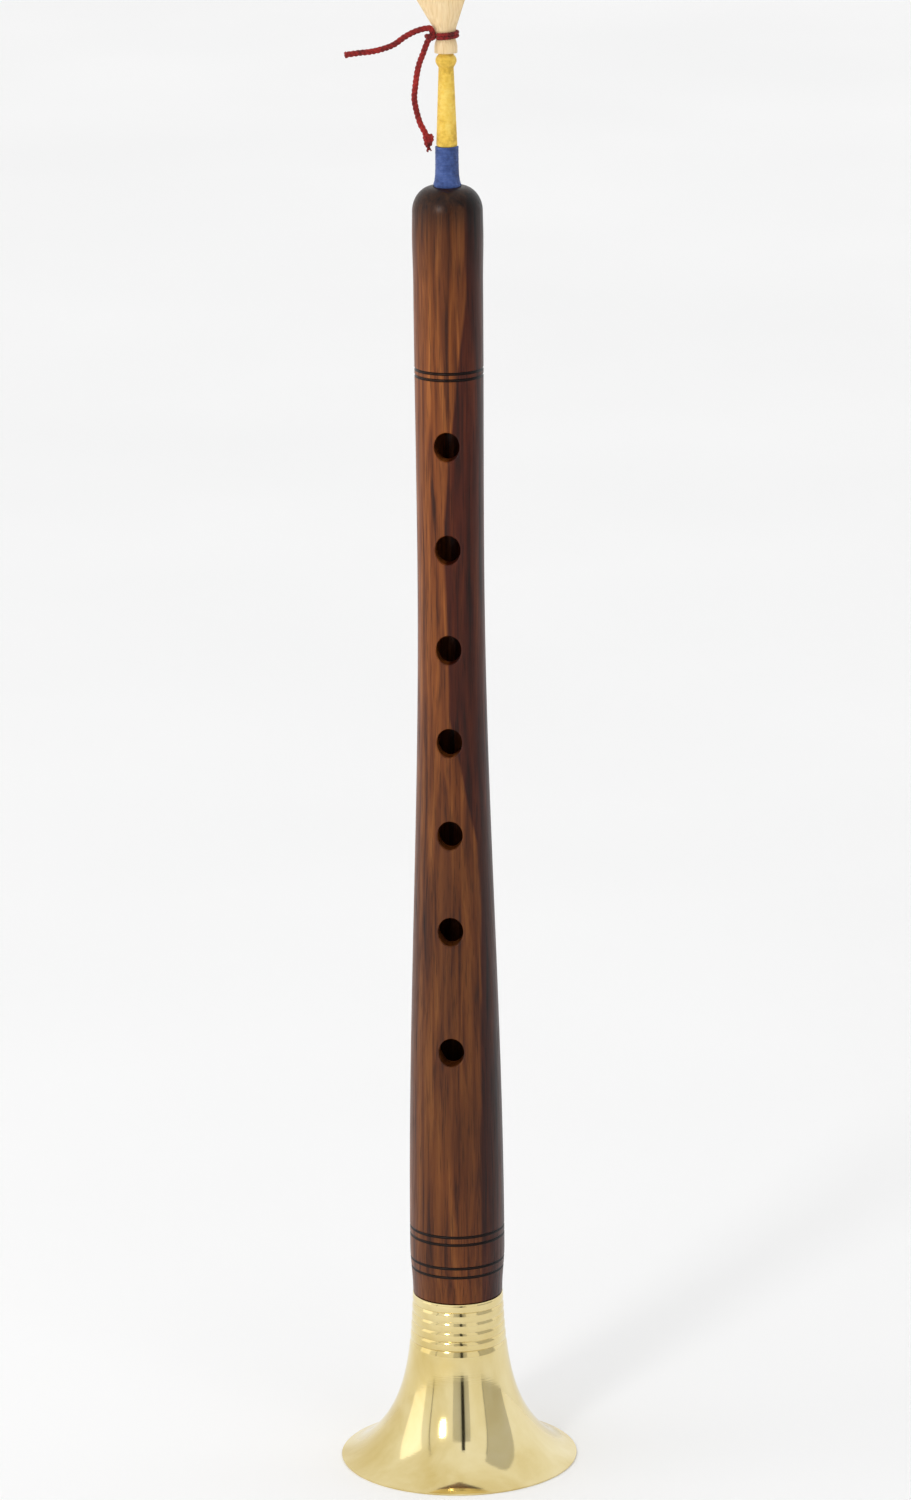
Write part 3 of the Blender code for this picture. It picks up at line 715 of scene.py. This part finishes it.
def add_coil(shape, foot, top, radius_at, thread, steps):
    """A thread of the given width wound from foot to top on the radius given at each height."""
    before = set(shape.verts)
    turns = max(2, round((top - foot - thread) / thread))
    rise = (top - foot - thread) / (turns * steps)
    ring = bmesh.ops.create_circle(shape, segments=THREAD_SIDES, radius=thread / 2.0)["verts"]
    for vert in ring:
        vert.co = Vector((COIL_BASE_RADIUS + vert.co.x, 0.0, foot + thread / 2.0 + vert.co.y))
    edges = list({edge for vert in ring for edge in vert.link_edges})
    spun = bmesh.ops.spin(
        shape, geom=ring + edges, cent=(0.0, 0.0, 0.0), axis=(0.0, 0.0, 1.0),
        dvec=(0.0, 0.0, rise), angle=math.tau * turns, steps=turns * steps, use_duplicate=False)
    far = [item for item in spun["geom_last"] if isinstance(item, bmesh.types.BMEdge)]
    bmesh.ops.edgeloop_fill(shape, edges=edges)
    bmesh.ops.edgeloop_fill(shape, edges=far)
    for vert in set(shape.verts) - before:
        z = vert.co.z
        reach = math.hypot(vert.co.x, vert.co.y)
        uneven = UNEVEN_SHARE * thread * math.sin(z / thread * UNEVEN_BY_TURN)
        uneven *= math.sin(z * UNEVEN_BY_HEIGHT)
        wanted = radius_at(z) - thread / 2.0 + (reach - COIL_BASE_RADIUS) + uneven
        vert.co.x *= wanted / reach
        vert.co.y *= wanted / reach
    return turns


def staple_radius(z):
    share = (z - STAPLE_FOOT_Z) / (STAPLE_TIP_Z - STAPLE_FOOT_Z)
    return STAPLE_FOOT_RADIUS + (STAPLE_TIP_RADIUS - STAPLE_FOOT_RADIUS) * share


def bore_radius(z):
    return staple_radius(z) + WINDING_GAP


print("staple %.1f mm long" % ((STAPLE_TIP_Z - STAPLE_FOOT_Z) * 1000.0))

# %% [markdown]
# Under each thread lies a smooth core, a closed outline spun round the axis: its outer side is
# sunk a little below the thread's, and its inner side follows the staple or the tenon. Core and
# thread make one piece, because a winding never comes off turn by turn when it is played.

# %% Winding cores
THREAD_STEPS = 28
THREAD_SHARP_ANGLE = 60.0
CORE_SIDES = 48
CORE_DEPTH = 0.6


def core_outline(outer, bore_at):
    """A closed outline from an outer side and the bore under it."""
    return outer + [(bore_at(outer[-1][1]), outer[-1][1]), (bore_at(outer[0][1]), outer[0][1])]


def core_side(radius_at, top, foot, thread, steps):
    """The outer side of a core, from the top down."""
    points = []
    for i in range(steps + 1):
        z = top + (foot - top) * i / steps
        points.append((radius_at(z) - CORE_DEPTH * thread, z))
    return points


def add_winding(names, outline, coil, material, body, sides=CORE_SIDES, steps=THREAD_STEPS):
    """A core and its thread; names are the piece, a slot that is not used, and the plain solid it
    stands for.
    """
    piece, slot, node = names
    shape = bmesh.new()
    turn_outline(shape, outline, sides)
    turns = add_coil(shape, *coil, steps)
    bmesh.ops.recalc_face_normals(shape, faces=shape.faces)
    add_piece(piece, shape, material, body, [node], THREAD_SHARP_ANGLE)
    print("%s wound in %d turns" % (piece, turns))


print("cores lie %.0f%% of a thread under the winding's surface" % (CORE_DEPTH * 100.0))

# %% [markdown]
# The blue thread packs the staple's foot so that it plugs into the pipe's head without leaking.
# Just above the head it flares out over the wood. A falling exponential draws that soft foot,
# as it drew the bell's flare.

# %% Blue winding
BLUE_THREAD_WIDTH = 0.00042
BLUE_TOP_RADIUS = 0.00375
BLUE_FLARE_LENGTH = 0.0018
BLUE_OVERHANG = 0.0001
BLUE_CORE_STEPS = 24
BLUE_LEDGE_Z = PIPE_TOP_Z + FACE_GAP
BLUE_PLUG_RADIUS = SOCKET_RADIUS - FACE_GAP


def blue_radius(z):
    above = max(z - BLUE_LEDGE_Z, 0.0)
    flare = SOCKET_RADIUS + BLUE_OVERHANG - BLUE_TOP_RADIUS
    return BLUE_TOP_RADIUS + flare * math.exp(-above / BLUE_FLARE_LENGTH)


def make_blue_winding():
    outer = core_side(blue_radius, BLUE_TOP_Z, BLUE_LEDGE_Z, BLUE_THREAD_WIDTH, BLUE_CORE_STEPS)
    outer += [(BLUE_PLUG_RADIUS, BLUE_LEDGE_Z), (BLUE_PLUG_RADIUS, BLUE_FOOT_Z)]
    coil = (BLUE_LEDGE_Z, BLUE_TOP_Z + FACE_GAP, blue_radius, BLUE_THREAD_WIDTH)
    add_winding(
        ("blue_thread", "blue_thread", "blue_winding"), core_outline(outer, bore_radius), coil,
        BLUE_THREAD, "staple")


make_blue_winding()

# %% [markdown]
# The yellow thread goes on up the staple. It narrows to a waist and then swells into a round
# collar, which stops the reed from sliding down. Half a sine wave on a straight taper is enough
# for the collar. Above it the core goes on alone, as a thin plain seat.

# %% Yellow winding
YELLOW_THREAD_WIDTH = 0.00036
YELLOW_TAPER_LENGTH = 0.0250
YELLOW_FOOT_RADIUS = 0.00338
YELLOW_WAIST_RADIUS = 0.00245
YELLOW_COLLAR_RADIUS = 0.00340
YELLOW_COLLAR_LENGTH = 0.0044
YELLOW_SEAT_RADIUS = 0.00215
YELLOW_CORE_STEPS = 60
YELLOW_CORE_INSET = 0.0002
COLLAR_Z = YELLOW_FOOT_Z + YELLOW_TAPER_LENGTH
SHOULDER_Z = COLLAR_Z + YELLOW_COLLAR_LENGTH


def yellow_radius(z):
    if z < COLLAR_Z:
        share = (z - YELLOW_FOOT_Z) / YELLOW_TAPER_LENGTH
        return YELLOW_FOOT_RADIUS + (YELLOW_WAIST_RADIUS - YELLOW_FOOT_RADIUS) * share
    share = min((z - COLLAR_Z) / YELLOW_COLLAR_LENGTH, 1.0)
    base = YELLOW_WAIST_RADIUS + (YELLOW_SEAT_RADIUS - YELLOW_WAIST_RADIUS) * share
    return base + (YELLOW_COLLAR_RADIUS - base) * math.sin(math.pi * share)


def make_yellow_winding():
    outer = [(YELLOW_SEAT_RADIUS, YELLOW_TOP_Z), (YELLOW_SEAT_RADIUS, SHOULDER_Z)]
    outer += core_side(
        yellow_radius, SHOULDER_Z - YELLOW_CORE_INSET, YELLOW_FOOT_Z, YELLOW_THREAD_WIDTH,
        YELLOW_CORE_STEPS)
    coil = (YELLOW_FOOT_Z, SHOULDER_Z, yellow_radius, YELLOW_THREAD_WIDTH)
    add_winding(
        ("yellow_thread", "yellow_thread", "yellow_winding"), core_outline(outer, bore_radius),
        coil, YELLOW_THREAD, "staple")


make_yellow_winding()

# %% [markdown]
# A third thread, waxed and plain, laps the pipe's tenon and makes it a push fit in the bell. It
# is hidden until the bell is pulled off. The staple itself is a plain tapered tube, so its own
# solid stays and only gets the brass.

# %% Lapping and staple
LAPPING_SIDES = 96
LAPPING_STEPS = 64
LAPPING_CORE_DEPTH = 0.0003
LAPPING_CORE_RADIUS = LAPPING_RADIUS - LAPPING_CORE_DEPTH


def lapping_radius(z):
    """The same at every height, because the lapping is straight."""
    return LAPPING_RADIUS


def lapping_bore_radius(z):
    """The same at every height, because the tenon is straight."""
    return TENON_RADIUS + WINDING_GAP / 2.0


def make_lapping():
    outer = [(LAPPING_CORE_RADIUS, LAPPING_TOP_Z), (LAPPING_CORE_RADIUS, LAPPING_FOOT_Z)]
    coil = (LAPPING_FOOT_Z, LAPPING_TOP_Z, lapping_radius, LAPPING_THICKNESS)
    add_winding(
        ("lapping_thread", "packing_thread", "bell_lapping"),
        core_outline(outer, lapping_bore_radius), coil, PACKING_THREAD, "pipe",
        LAPPING_SIDES, LAPPING_STEPS)


def dress_staple():
    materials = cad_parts["staple"].data.materials
    materials.clear()
    materials.append(BRASS)
    print("staple dressed in brass")


make_lapping()
dress_staple()

# %% [markdown]
# The reed is four leaves of cane in two nested pairs. Each is a thin sheet laid on an arc: half
# round at the foot, where the cord pulls it onto the staple, and nearly flat at its wide tip.

# %% Reed sizes
REED_LENGTH = 0.0207
TIE_HEIGHT = 0.0056
TIE_Z = REED_FOOT_Z + TIE_HEIGHT
FAN_START = 0.0078
REED_COLLAR_RADIUS = 0.00364
COLLAR_STRETCH = 1.4
COLLAR_DELAY = 0.4
FAN_START_RADIUS = 0.00352
FAN_SLOPE = 0.444
REED_LEAN = math.radians(7.0)
LEAF_THICKNESS = 0.00042
LEAF_SPACING = 0.0003
LEAF_SIDE_GAP = 0.0003
TIP_HALF_ANGLE = math.radians(6.0)
CLOSING_ANGLE = math.radians(1.5)
LEAF_PAIR = 2.0 * LEAF_THICKNESS + LEAF_SPACING
STAPLE_CLEARANCE = 0.0002
WAIST_RADIUS = staple_radius(TIE_Z) + STAPLE_CLEARANCE + LEAF_PAIR


def smooth_step(share):
    share = min(max(share, 0.0), 1.0)
    return share * share * (3.0 - 2.0 * share)


def reed_half_width(height):
    """Full at the foot, drawn in at the tie and fanned out in a straight line above it."""
    if height < TIE_HEIGHT:
        share = smooth_step(height / TIE_HEIGHT * COLLAR_STRETCH - COLLAR_DELAY)
        return REED_COLLAR_RADIUS + (WAIST_RADIUS - REED_COLLAR_RADIUS) * share
    if height < FAN_START:
        share = smooth_step((height - TIE_HEIGHT) / (FAN_START - TIE_HEIGHT))
        return WAIST_RADIUS + (FAN_START_RADIUS - WAIST_RADIUS) * share
    return FAN_START_RADIUS + FAN_SLOPE * (height - FAN_START)


def leaf_point(across, height, layer, out=0.0):
    """A point on a leaf's inner face; across runs from -1 to 1 over its width."""
    side = LEAF_SIDE_GAP / 2.0 + max(height - TIE_HEIGHT, 0.0) * math.tan(CLOSING_ANGLE)
    half_width = reed_half_width(height)
    round_angle = math.acos(side / (half_width - LEAF_PAIR))
    flatness = max((height - TIE_HEIGHT) / (REED_LENGTH - TIE_HEIGHT), 0.0)
    half_angle = round_angle + (TIP_HALF_ANGLE - round_angle) * flatness
    inner_radius = half_width / math.sin(half_angle) - LEAF_PAIR
    centre_y = inner_radius * math.cos(half_angle) - side
    radius = inner_radius + layer * (LEAF_THICKNESS + LEAF_SPACING) + out
    turn = across * half_angle
    lean = max(height - TIE_HEIGHT, 0.0) * math.tan(REED_LEAN)
    return Vector((radius * math.sin(turn) - lean, centre_y - radius * math.cos(turn), height))


print("reed %.1f mm wide at its tip" % (2000.0 * reed_half_width(REED_LENGTH)))

# %% [markdown]
# Cane splits along its fibres, so a leaf has fine ridges that run up it, and the front one has a
# slanting crease. Only the outer leaves get them, because the inner ones are hidden. A Solidify
# modifier gives each sheet its thickness.

# %% Reed leaves
LEAF_COLUMNS = 72
LEAF_ROWS = 56
TIP_ROUND = 0.0009
RIDGE_HEIGHT = 0.000015
RIDGES_FINE = 61.0
RIDGES_BROAD = 23.0
RIDGE_FADE = 0.006
CREASE_ACROSS = 0.62
CREASE_SLOPE = 14.0
CREASE_HEIGHT = 0.0165
CREASE_WIDTH = 0.035
CREASE_DEPTH = 0.00012
CREASE_FOOT = 0.0140
CREASE_FADE = 0.002


def fibre(across, height, seed):
    """Fine ridges along the cane, deeper towards the tip, with one crease on the front leaf."""
    ridges = math.sin(across * RIDGES_FINE + seed) * math.sin(across * RIDGES_BROAD + 2.0 * seed)
    rise = RIDGE_HEIGHT * ridges * smooth_step((height - FAN_START) / RIDGE_FADE)
    if seed == 1:
        aside = across + CREASE_ACROSS - CREASE_SLOPE * (height - CREASE_HEIGHT)
        crease = math.exp(-(aside / CREASE_WIDTH) ** 2)
        rise -= CREASE_DEPTH * crease * smooth_step((height - CREASE_FOOT) / CREASE_FADE)
    return rise


def make_leaf(pair, facing, layer, side, seed):
    shape = bmesh.new()
    bmesh.ops.create_grid(shape, x_segments=LEAF_COLUMNS, y_segments=LEAF_ROWS, size=0.5)
    for vert in shape.verts:
        across = 2.0 * vert.co.x
        tip = REED_LENGTH - TIP_ROUND * abs(across) ** 3
        height = (vert.co.y + 0.5) * tip
        out = fibre(across, height, seed) if layer else 0.0
        point = leaf_point(across, height, layer, out)
        vert.co = Vector((point.x, -facing * point.y, point.z + REED_FOOT_Z))
    if facing > 0:
        bmesh.ops.reverse_faces(shape, faces=shape.faces)
    node = "reed_leaf_%s_%s" % (pair, side)
    leaf = add_piece("cane_%s_%s" % (pair, side), shape, CANE, pair + "_lip", [node])
    wall = leaf.modifiers.new("Leaf thickness", "SOLIDIFY")
    wall.thickness = LEAF_THICKNESS
    wall.offset = 1.0


for pair, facing in (("front", -1), ("rear", 1)):
    for layer, side in enumerate(("inner", "outer")):
        make_leaf(pair, facing, layer, side, layer * (1 if pair == "front" else 2))

# %% [markdown]
# The red cord is three plies of four yarns, twisted twice over. Each yarn is a thin curve: the
# helper twists a path into strands, and twists each strand again into yarns.

# %% Cord paths
CORD_DIAMETER = 0.0019
CORD_STEP = 0.00022


def catmull_rom(before, start, end, after, share):
    squared = share * share
    cubed = squared * share
    return 0.5 * (
        2.0 * start + (end - before) * share
        + (2.0 * before - 5.0 * start + 4.0 * end - after) * squared
        + (3.0 * start - before - 3.0 * end + after) * cubed)


def smooth_route(route, origin):
    """Close points on the smooth curve through a route's own points."""
    knots = [origin + Vector(point) for point in route]
    knots = [2.0 * knots[0] - knots[1]] + knots + [2.0 * knots[-1] - knots[-2]]
    points = []
    for i in range(1, len(knots) - 2):
        steps = max(2, round((knots[i + 1] - knots[i]).length / CORD_STEP))
        points += [catmull_rom(*knots[i - 1:i + 3], step / steps) for step in range(steps)]
    return points + [knots[-2]]


def path_length(path):
    return sum((end - start).length for start, end in zip(path, path[1:]))


def twist(path, count, offset, pitch):
    """Strands that wind round a path, with frames carried along it so that none flips."""
    side = (path[1] - path[0]).orthogonal().normalized()
    strands = [[] for number in range(count)]
    travelled = 0.0
    for i, place in enumerate(path):
        ahead = (path[min(i + 1, len(path) - 1)] - path[max(i - 1, 0)]).normalized()
        side = (side - ahead * side.dot(ahead)).normalized()
        up = ahead.cross(side)
        if i:
            travelled += (place - path[i - 1]).length
        for number in range(count):
            turn = math.tau * (travelled / pitch + number / count)
            strands[number].append(place + offset * (math.cos(turn) * side + math.sin(turn) * up))
    return strands


print("cord %.1f mm thick" % (CORD_DIAMETER * 1000.0))

# %% [markdown]
# A ply's thickness and its distance from the middle are shares of the cord's, and a yarn's are
# shares of its ply's. A pitch is the length of one whole turn, counted in cord diameters. The
# yarns wind the other way from the plies, as in real cord. A curve with a round bevel makes
# them, and only its mesh is kept.

# %% Cord yarns
PLIES = 3
PLY_THICKNESS = 0.54
PLY_OFFSET = 0.52
PLY_PITCH = 2.3
YARNS = 4
YARN_THICKNESS = 0.50
YARN_OFFSET = 0.56
YARN_PITCH = 1.1


def lay_cord(path, diameter):
    """The paths of a cord's yarns, and a yarn's radius."""
    ply = diameter / 2.0 * PLY_THICKNESS
    yarns = []
    for strand in twist(path, PLIES, diameter / 2.0 * PLY_OFFSET, diameter * PLY_PITCH):
        yarns += twist(strand, YARNS, ply * YARN_OFFSET, -diameter * YARN_PITCH)
    return yarns, ply * YARN_THICKNESS


def yarn_mesh(yarns, radius):
    """Round yarns along their paths, as one mesh with closed ends."""
    curve = bpy.data.curves.new("yarns", "CURVE")
    curve.dimensions = "3D"
    curve.bevel_depth = radius
    curve.bevel_resolution = 1
    curve.use_fill_caps = True
    for yarn in yarns:
        spline = curve.splines.new("POLY")
        spline.points.add(len(yarn) - 1)
        for point, place in zip(spline.points, yarn):
            point.co = (*place, 1.0)
    guide = bpy.data.objects.new("yarns", curve)
    bpy.context.scene.collection.objects.link(guide)
    bpy.context.view_layer.update()
    graph = bpy.context.evaluated_depsgraph_get()
    mesh = bpy.data.meshes.new_from_object(guide.evaluated_get(graph))
    bpy.data.objects.remove(guide, do_unlink=True)
    shape = bmesh.new()
    shape.from_mesh(mesh)
    bmesh.ops.remove_doubles(shape, verts=shape.verts, dist=MERGE_DISTANCE)
    bmesh.ops.recalc_face_normals(shape, faces=shape.faces)
    bpy.data.meshes.remove(mesh)
    return shape


print("%d plies of %d yarns" % (PLIES, YARNS))

# %% [markdown]
# A pulled knot is too tight to show how it is tied. A trefoil, the simplest knot that a formula
# can draw, pressed into the knot's size gives cord that crosses over itself in the same way.

# %% Knots
KNOT_STEPS = 150
TREFOIL_REACH = 2.7


def knot_path(centre, size, diameter):
    """A trefoil pressed into the knot's size."""
    reach = [size[i] / 2.0 - diameter * 0.5 for i in range(3)]
    points = []
    for i in range(KNOT_STEPS + 1):
        turn = math.tau * i / KNOT_STEPS
        x = (math.sin(turn) + 2.0 * math.sin(2.0 * turn)) / TREFOIL_REACH
        y = -math.sin(3.0 * turn)
        z = (math.cos(turn) - 2.0 * math.cos(2.0 * turn)) / TREFOIL_REACH
        points.append(centre + Vector((x * reach[0], y * reach[1], z * reach[2])))
    return points


print("knots drawn with %d points" % (KNOT_STEPS + 1))

# %% [markdown]
# The cord goes round the reed's waist and is knotted on the left. One short end sticks out
# stiffly to the left, where it was cut. The other hangs beside the yellow thread and ends in a
# small knot. Both lengths come from the photograph, which shows them from end to end.

# %% Cord routes
TIE_MIDDLE = Vector((0.0, 0.0, TIE_Z))
SIDE_ROUTE = (
    (-0.0040, -0.0019, 0.0002),
    (-0.0045, -0.0022, 0.0022),
    (-0.0064, -0.0027, 0.0023),
    (-0.0094, -0.0037, 0.0015),
    (-0.0125, -0.0050, 0.0000),
    (-0.0158, -0.0066, -0.0022),
    (-0.0192, -0.0083, -0.0033),
    (-0.0225, -0.0098, -0.0039),
    (-0.0262, -0.0113, -0.0041),
    (-0.0303, -0.0126, -0.0045),
)
HANGING_ROUTE = (
    (-0.0048, -0.0021, -0.0004),
    (-0.0058, -0.0023, -0.0024),
    (-0.0070, -0.0023, -0.0056),
    (-0.0083, -0.0022, -0.0090),
    (-0.0091, -0.0021, -0.0125),
    (-0.0096, -0.0019, -0.0160),
    (-0.0100, -0.0018, -0.0197),
    (-0.0096, -0.0017, -0.0228),
    (-0.0089, -0.0016, -0.0258),
    (-0.0081, -0.0016, -0.0283),
    (-0.0070, -0.0015, -0.0304),
    (-0.0057, -0.0015, -0.0333),
)
print("%d and %d points chosen along the two loose ends" % (len(SIDE_ROUTE), len(HANGING_ROUTE)))

# %% [markdown]
# Each part of the cord is laid with the same twist, so that the parts read as one cord. A cut
# end frays into loose yarns that fan out, and no two of them are the same length.

# %% Cord pieces
KNOT_CENTRE = TIE_MIDDLE + Vector((-0.0047, -0.0020, -0.0005))
KNOT_SIZE = (0.0042, 0.0040, 0.0030)
END_KNOT_CENTRE = TIE_MIDDLE + Vector((-0.0057, -0.0015, -0.0333))
END_KNOT_SIZE = (0.0040, 0.0038, 0.0050)
KNOT_CORD_DIAMETER = CORD_DIAMETER * 0.8
FRAY_POINTS = (0.0, 0.25, 0.5, 0.75, 1.0)
FRAY_BEND = 1.6
FRAY_SHORTEST = 0.7
FRAY_NARROWEST = 0.4
END_KNOT_FRAY_DROP = 0.0010


def add_cord_piece(name, yarns, radius, node):
    shape = yarn_mesh(yarns, radius)
    return add_piece(name, shape, RED_CORD, "reed_tie", [node], THREAD_SHARP_ANGLE)


def cut_fibres(place, heading, length, spread, count):
    """Short loose yarns that fan out of a cut end."""
    side = heading.orthogonal().normalized()
    up = heading.cross(side)
    fibres = []
    for number in range(count):
        turn = math.tau * number / count
        lean = side * math.cos(turn) + up * math.sin(turn)
        reach = length * random.uniform(FRAY_SHORTEST, 1.0)
        wide = spread * random.uniform(FRAY_NARROWEST, 1.0)
        fibres.append([place + heading * reach * share + lean * wide * share ** FRAY_BEND
                       for share in FRAY_POINTS])
    return fibres


def make_knot():
    path = knot_path(KNOT_CENTRE, KNOT_SIZE, CORD_DIAMETER)
    return add_cord_piece("red_knot", *lay_cord(path, KNOT_CORD_DIAMETER), "cord_knot")


def make_end_knot():
    foot = END_KNOT_CENTRE - Vector((0.0, 0.0, END_KNOT_FRAY_DROP))
    ends = cut_fibres(
        foot, Vector((0.0, 0.0, -1.0)), length=0.0030, spread=0.0011, count=9)
    path = knot_path(END_KNOT_CENTRE, END_KNOT_SIZE, CORD_DIAMETER)
    yarns, radius = lay_cord(path, KNOT_CORD_DIAMETER)
    return add_cord_piece("red_end_knot", yarns + ends, radius, "cord_end_knot")


print("knots centred %.1f mm apart" % ((KNOT_CENTRE - END_KNOT_CENTRE).length * 1000.0))

# %% [markdown]
# Round the waist the cord is pulled thin, and two turns of it lie side by side. They leave a gap
# on the left, where the knot sits on them, and the real tie slopes a little, so these do too.

# %% Cord loop
LOOP_CORD_DIAMETER = 0.0012
LOOP_CLEARANCE = 0.0002
LOOP_RADIUS = WAIST_RADIUS + LOOP_CLEARANCE + LOOP_CORD_DIAMETER / 2.0
LOOP_STEPS = 110
LOOP_SLOPE = 0.07
LOOP_SPREAD = 0.00055
KNOT_ANGLE = 203.0
KNOT_CLEAR_ANGLE = 25.0
LOOP_START = math.radians(KNOT_ANGLE + KNOT_CLEAR_ANGLE)
LOOP_ANGLE = math.radians(360.0 - 2.0 * KNOT_CLEAR_ANGLE)


def make_loop():
    yarns = []
    for side in (-1, 1):
        path = []
        for i in range(LOOP_STEPS + 1):
            turn = LOOP_START + LOOP_ANGLE * i / LOOP_STEPS
            x = LOOP_RADIUS * math.cos(turn)
            z = TIE_Z + LOOP_SPREAD * side + LOOP_SLOPE * x
            path.append(Vector((x, LOOP_RADIUS * math.sin(turn), z)))
        laid, radius = lay_cord(path, LOOP_CORD_DIAMETER)
        yarns += laid
    return add_cord_piece("red_loop", yarns, radius, "cord_loop")


print("loop goes %.0f degrees round the waist" % math.degrees(LOOP_ANGLE))

# %% [markdown]
# Each loose end is laid as cord along a smooth path that leaves the knot. The side end stands
# out by itself and ends in a frayed cut, and the other hangs limp and ends in a knot.

# %% Cord
HEADING_STEPS = 5
FRAY_OVERLAP = 0.0014


def make_side_tail(path):
    heading = (path[-1] - path[-1 - HEADING_STEPS]).normalized()
    frayed = cut_fibres(
        path[-1] - heading * FRAY_OVERLAP, heading, length=0.0018, spread=0.0013, count=22)
    yarns, radius = lay_cord(path, CORD_DIAMETER)
    return add_cord_piece("red_side_tail", yarns + frayed, radius, "cord_tail_side")


def make_hanging_tail(path):
    return add_cord_piece(
        "red_hanging_tail", *lay_cord(path, CORD_DIAMETER), "cord_tail_hanging")


def make_cord():
    loop = make_loop()
    knot = make_knot()
    end_knot = make_end_knot()
    side_path = smooth_route(SIDE_ROUTE, TIE_MIDDLE)
    side_tail = make_side_tail(side_path)
    hanging_path = smooth_route(HANGING_ROUTE, TIE_MIDDLE)
    hanging_tail = make_hanging_tail(hanging_path)

    print("cord ends: %.1f and %.1f mm" % (
        path_length(side_path) * 1000.0, path_length(hanging_path) * 1000.0))


make_cord()

# %% [markdown]
# The studio is a pale floor under a white sky. One soft panel in front on the left is the key
# light and throws the shadow, and a weaker one further left fills that side. The floor is wide,
# so that its edge stays out of sight from any side.

# %% Floor and light
FLOOR_HALF_SIZE = 20.0
SKY_STRENGTH = 0.95
LIGHT_AIM = Vector((0.0, 0.0, 0.24))


def make_floor():
    shape = bmesh.new()
    bmesh.ops.create_grid(shape, x_segments=2, y_segments=2, size=FLOOR_HALF_SIZE)
    material, tree, shader = new_material("Pale floor")
    tint = ramp(tree, grain(tree, (1.0, 1.0, 1.0), scale=3.0, detail=2.0), [
        (0.3, screen_colour(250, 250, 250)), (0.7, screen_colour(253, 253, 253))])
    dress(tree, shader, tint)
    shader.inputs["Roughness"].default_value = 0.7
    mesh_object("floor", shape, material)


def make_sky():
    world = bpy.data.worlds.new("studio")
    world.use_nodes = True
    sky = world.node_tree.nodes["Background"]
    sky.inputs["Color"].default_value = grey(1.0)
    sky.inputs["Strength"].default_value = SKY_STRENGTH
    bpy.context.scene.world = world


def add_panel_light(name, azimuth, distance, height, size, power):
    """A soft panel that faces the instrument; azimuth is measured from the front, to the right."""
    data = bpy.data.lights.new(name, "AREA")
    data.shape = "RECTANGLE"
    data.size, data.size_y = size
    data.energy = power
    light = bpy.data.objects.new(name, data)
    turn = math.radians(azimuth)
    light.location = (distance * math.sin(turn), -distance * math.cos(turn), height)
    light.rotation_euler = (LIGHT_AIM - light.location).to_track_quat("-Z", "Y").to_euler()
    bpy.context.scene.collection.objects.link(light)


make_floor()
make_sky()
add_panel_light(
    "key_panel", azimuth=-24.0, distance=1.6, height=0.99, size=(0.24, 0.40), power=6.0)
add_panel_light(
    "side_panel", azimuth=-78.0, distance=1.3, height=0.60, size=(0.70, 1.20), power=1.2)
print("floor, sky and two panels ready")

# %% [markdown]
# Polished brass shows the room it stands in, and in an all-white room it would look flat. Matt
# cards outside the photograph's view give it something dark to reflect. A black one behind the
# camera draws the line down the middle of the bell, two wide grey ones tone its bright bands
# down, and two thin dark ones add fine lines.

# %% Dark cards


def add_dark_card(name, azimuth, distance, width, tall, shade):
    """An upright matt card that stands on the floor and faces the instrument."""
    shape = bmesh.new()
    bmesh.ops.create_grid(shape, x_segments=1, y_segments=1, size=0.5)
    turn = math.radians(azimuth)
    for vert in shape.verts:
        across, up = vert.co.x * width, (vert.co.y + 0.5) * tall
        vert.co = Vector((
            distance * math.sin(turn) + across * math.cos(turn),
            -distance * math.cos(turn) + across * math.sin(turn), up))
    material, _, shader = new_material(name)
    shader.inputs["Base Color"].default_value = grey(shade)
    shader.inputs["Roughness"].default_value = 0.9
    mesh_object(name, shape, material)
    print("%s: %.2f by %.2f m" % (name, width, tall))


add_dark_card("line_card", azimuth=13.0, distance=2.35, width=0.26, tall=3.2, shade=0.005)
add_dark_card("back_card", azimuth=10.0, distance=2.6, width=1.5, tall=2.6, shade=0.66)
add_dark_card("right_card", azimuth=78.0, distance=1.5, width=1.2, tall=2.8, shade=0.58)
add_dark_card("right_edge_card", azimuth=56.0, distance=1.9, width=0.05, tall=2.6, shade=0.05)
add_dark_card("left_card", azimuth=-48.0, distance=1.9, width=0.05, tall=2.6, shade=0.08)
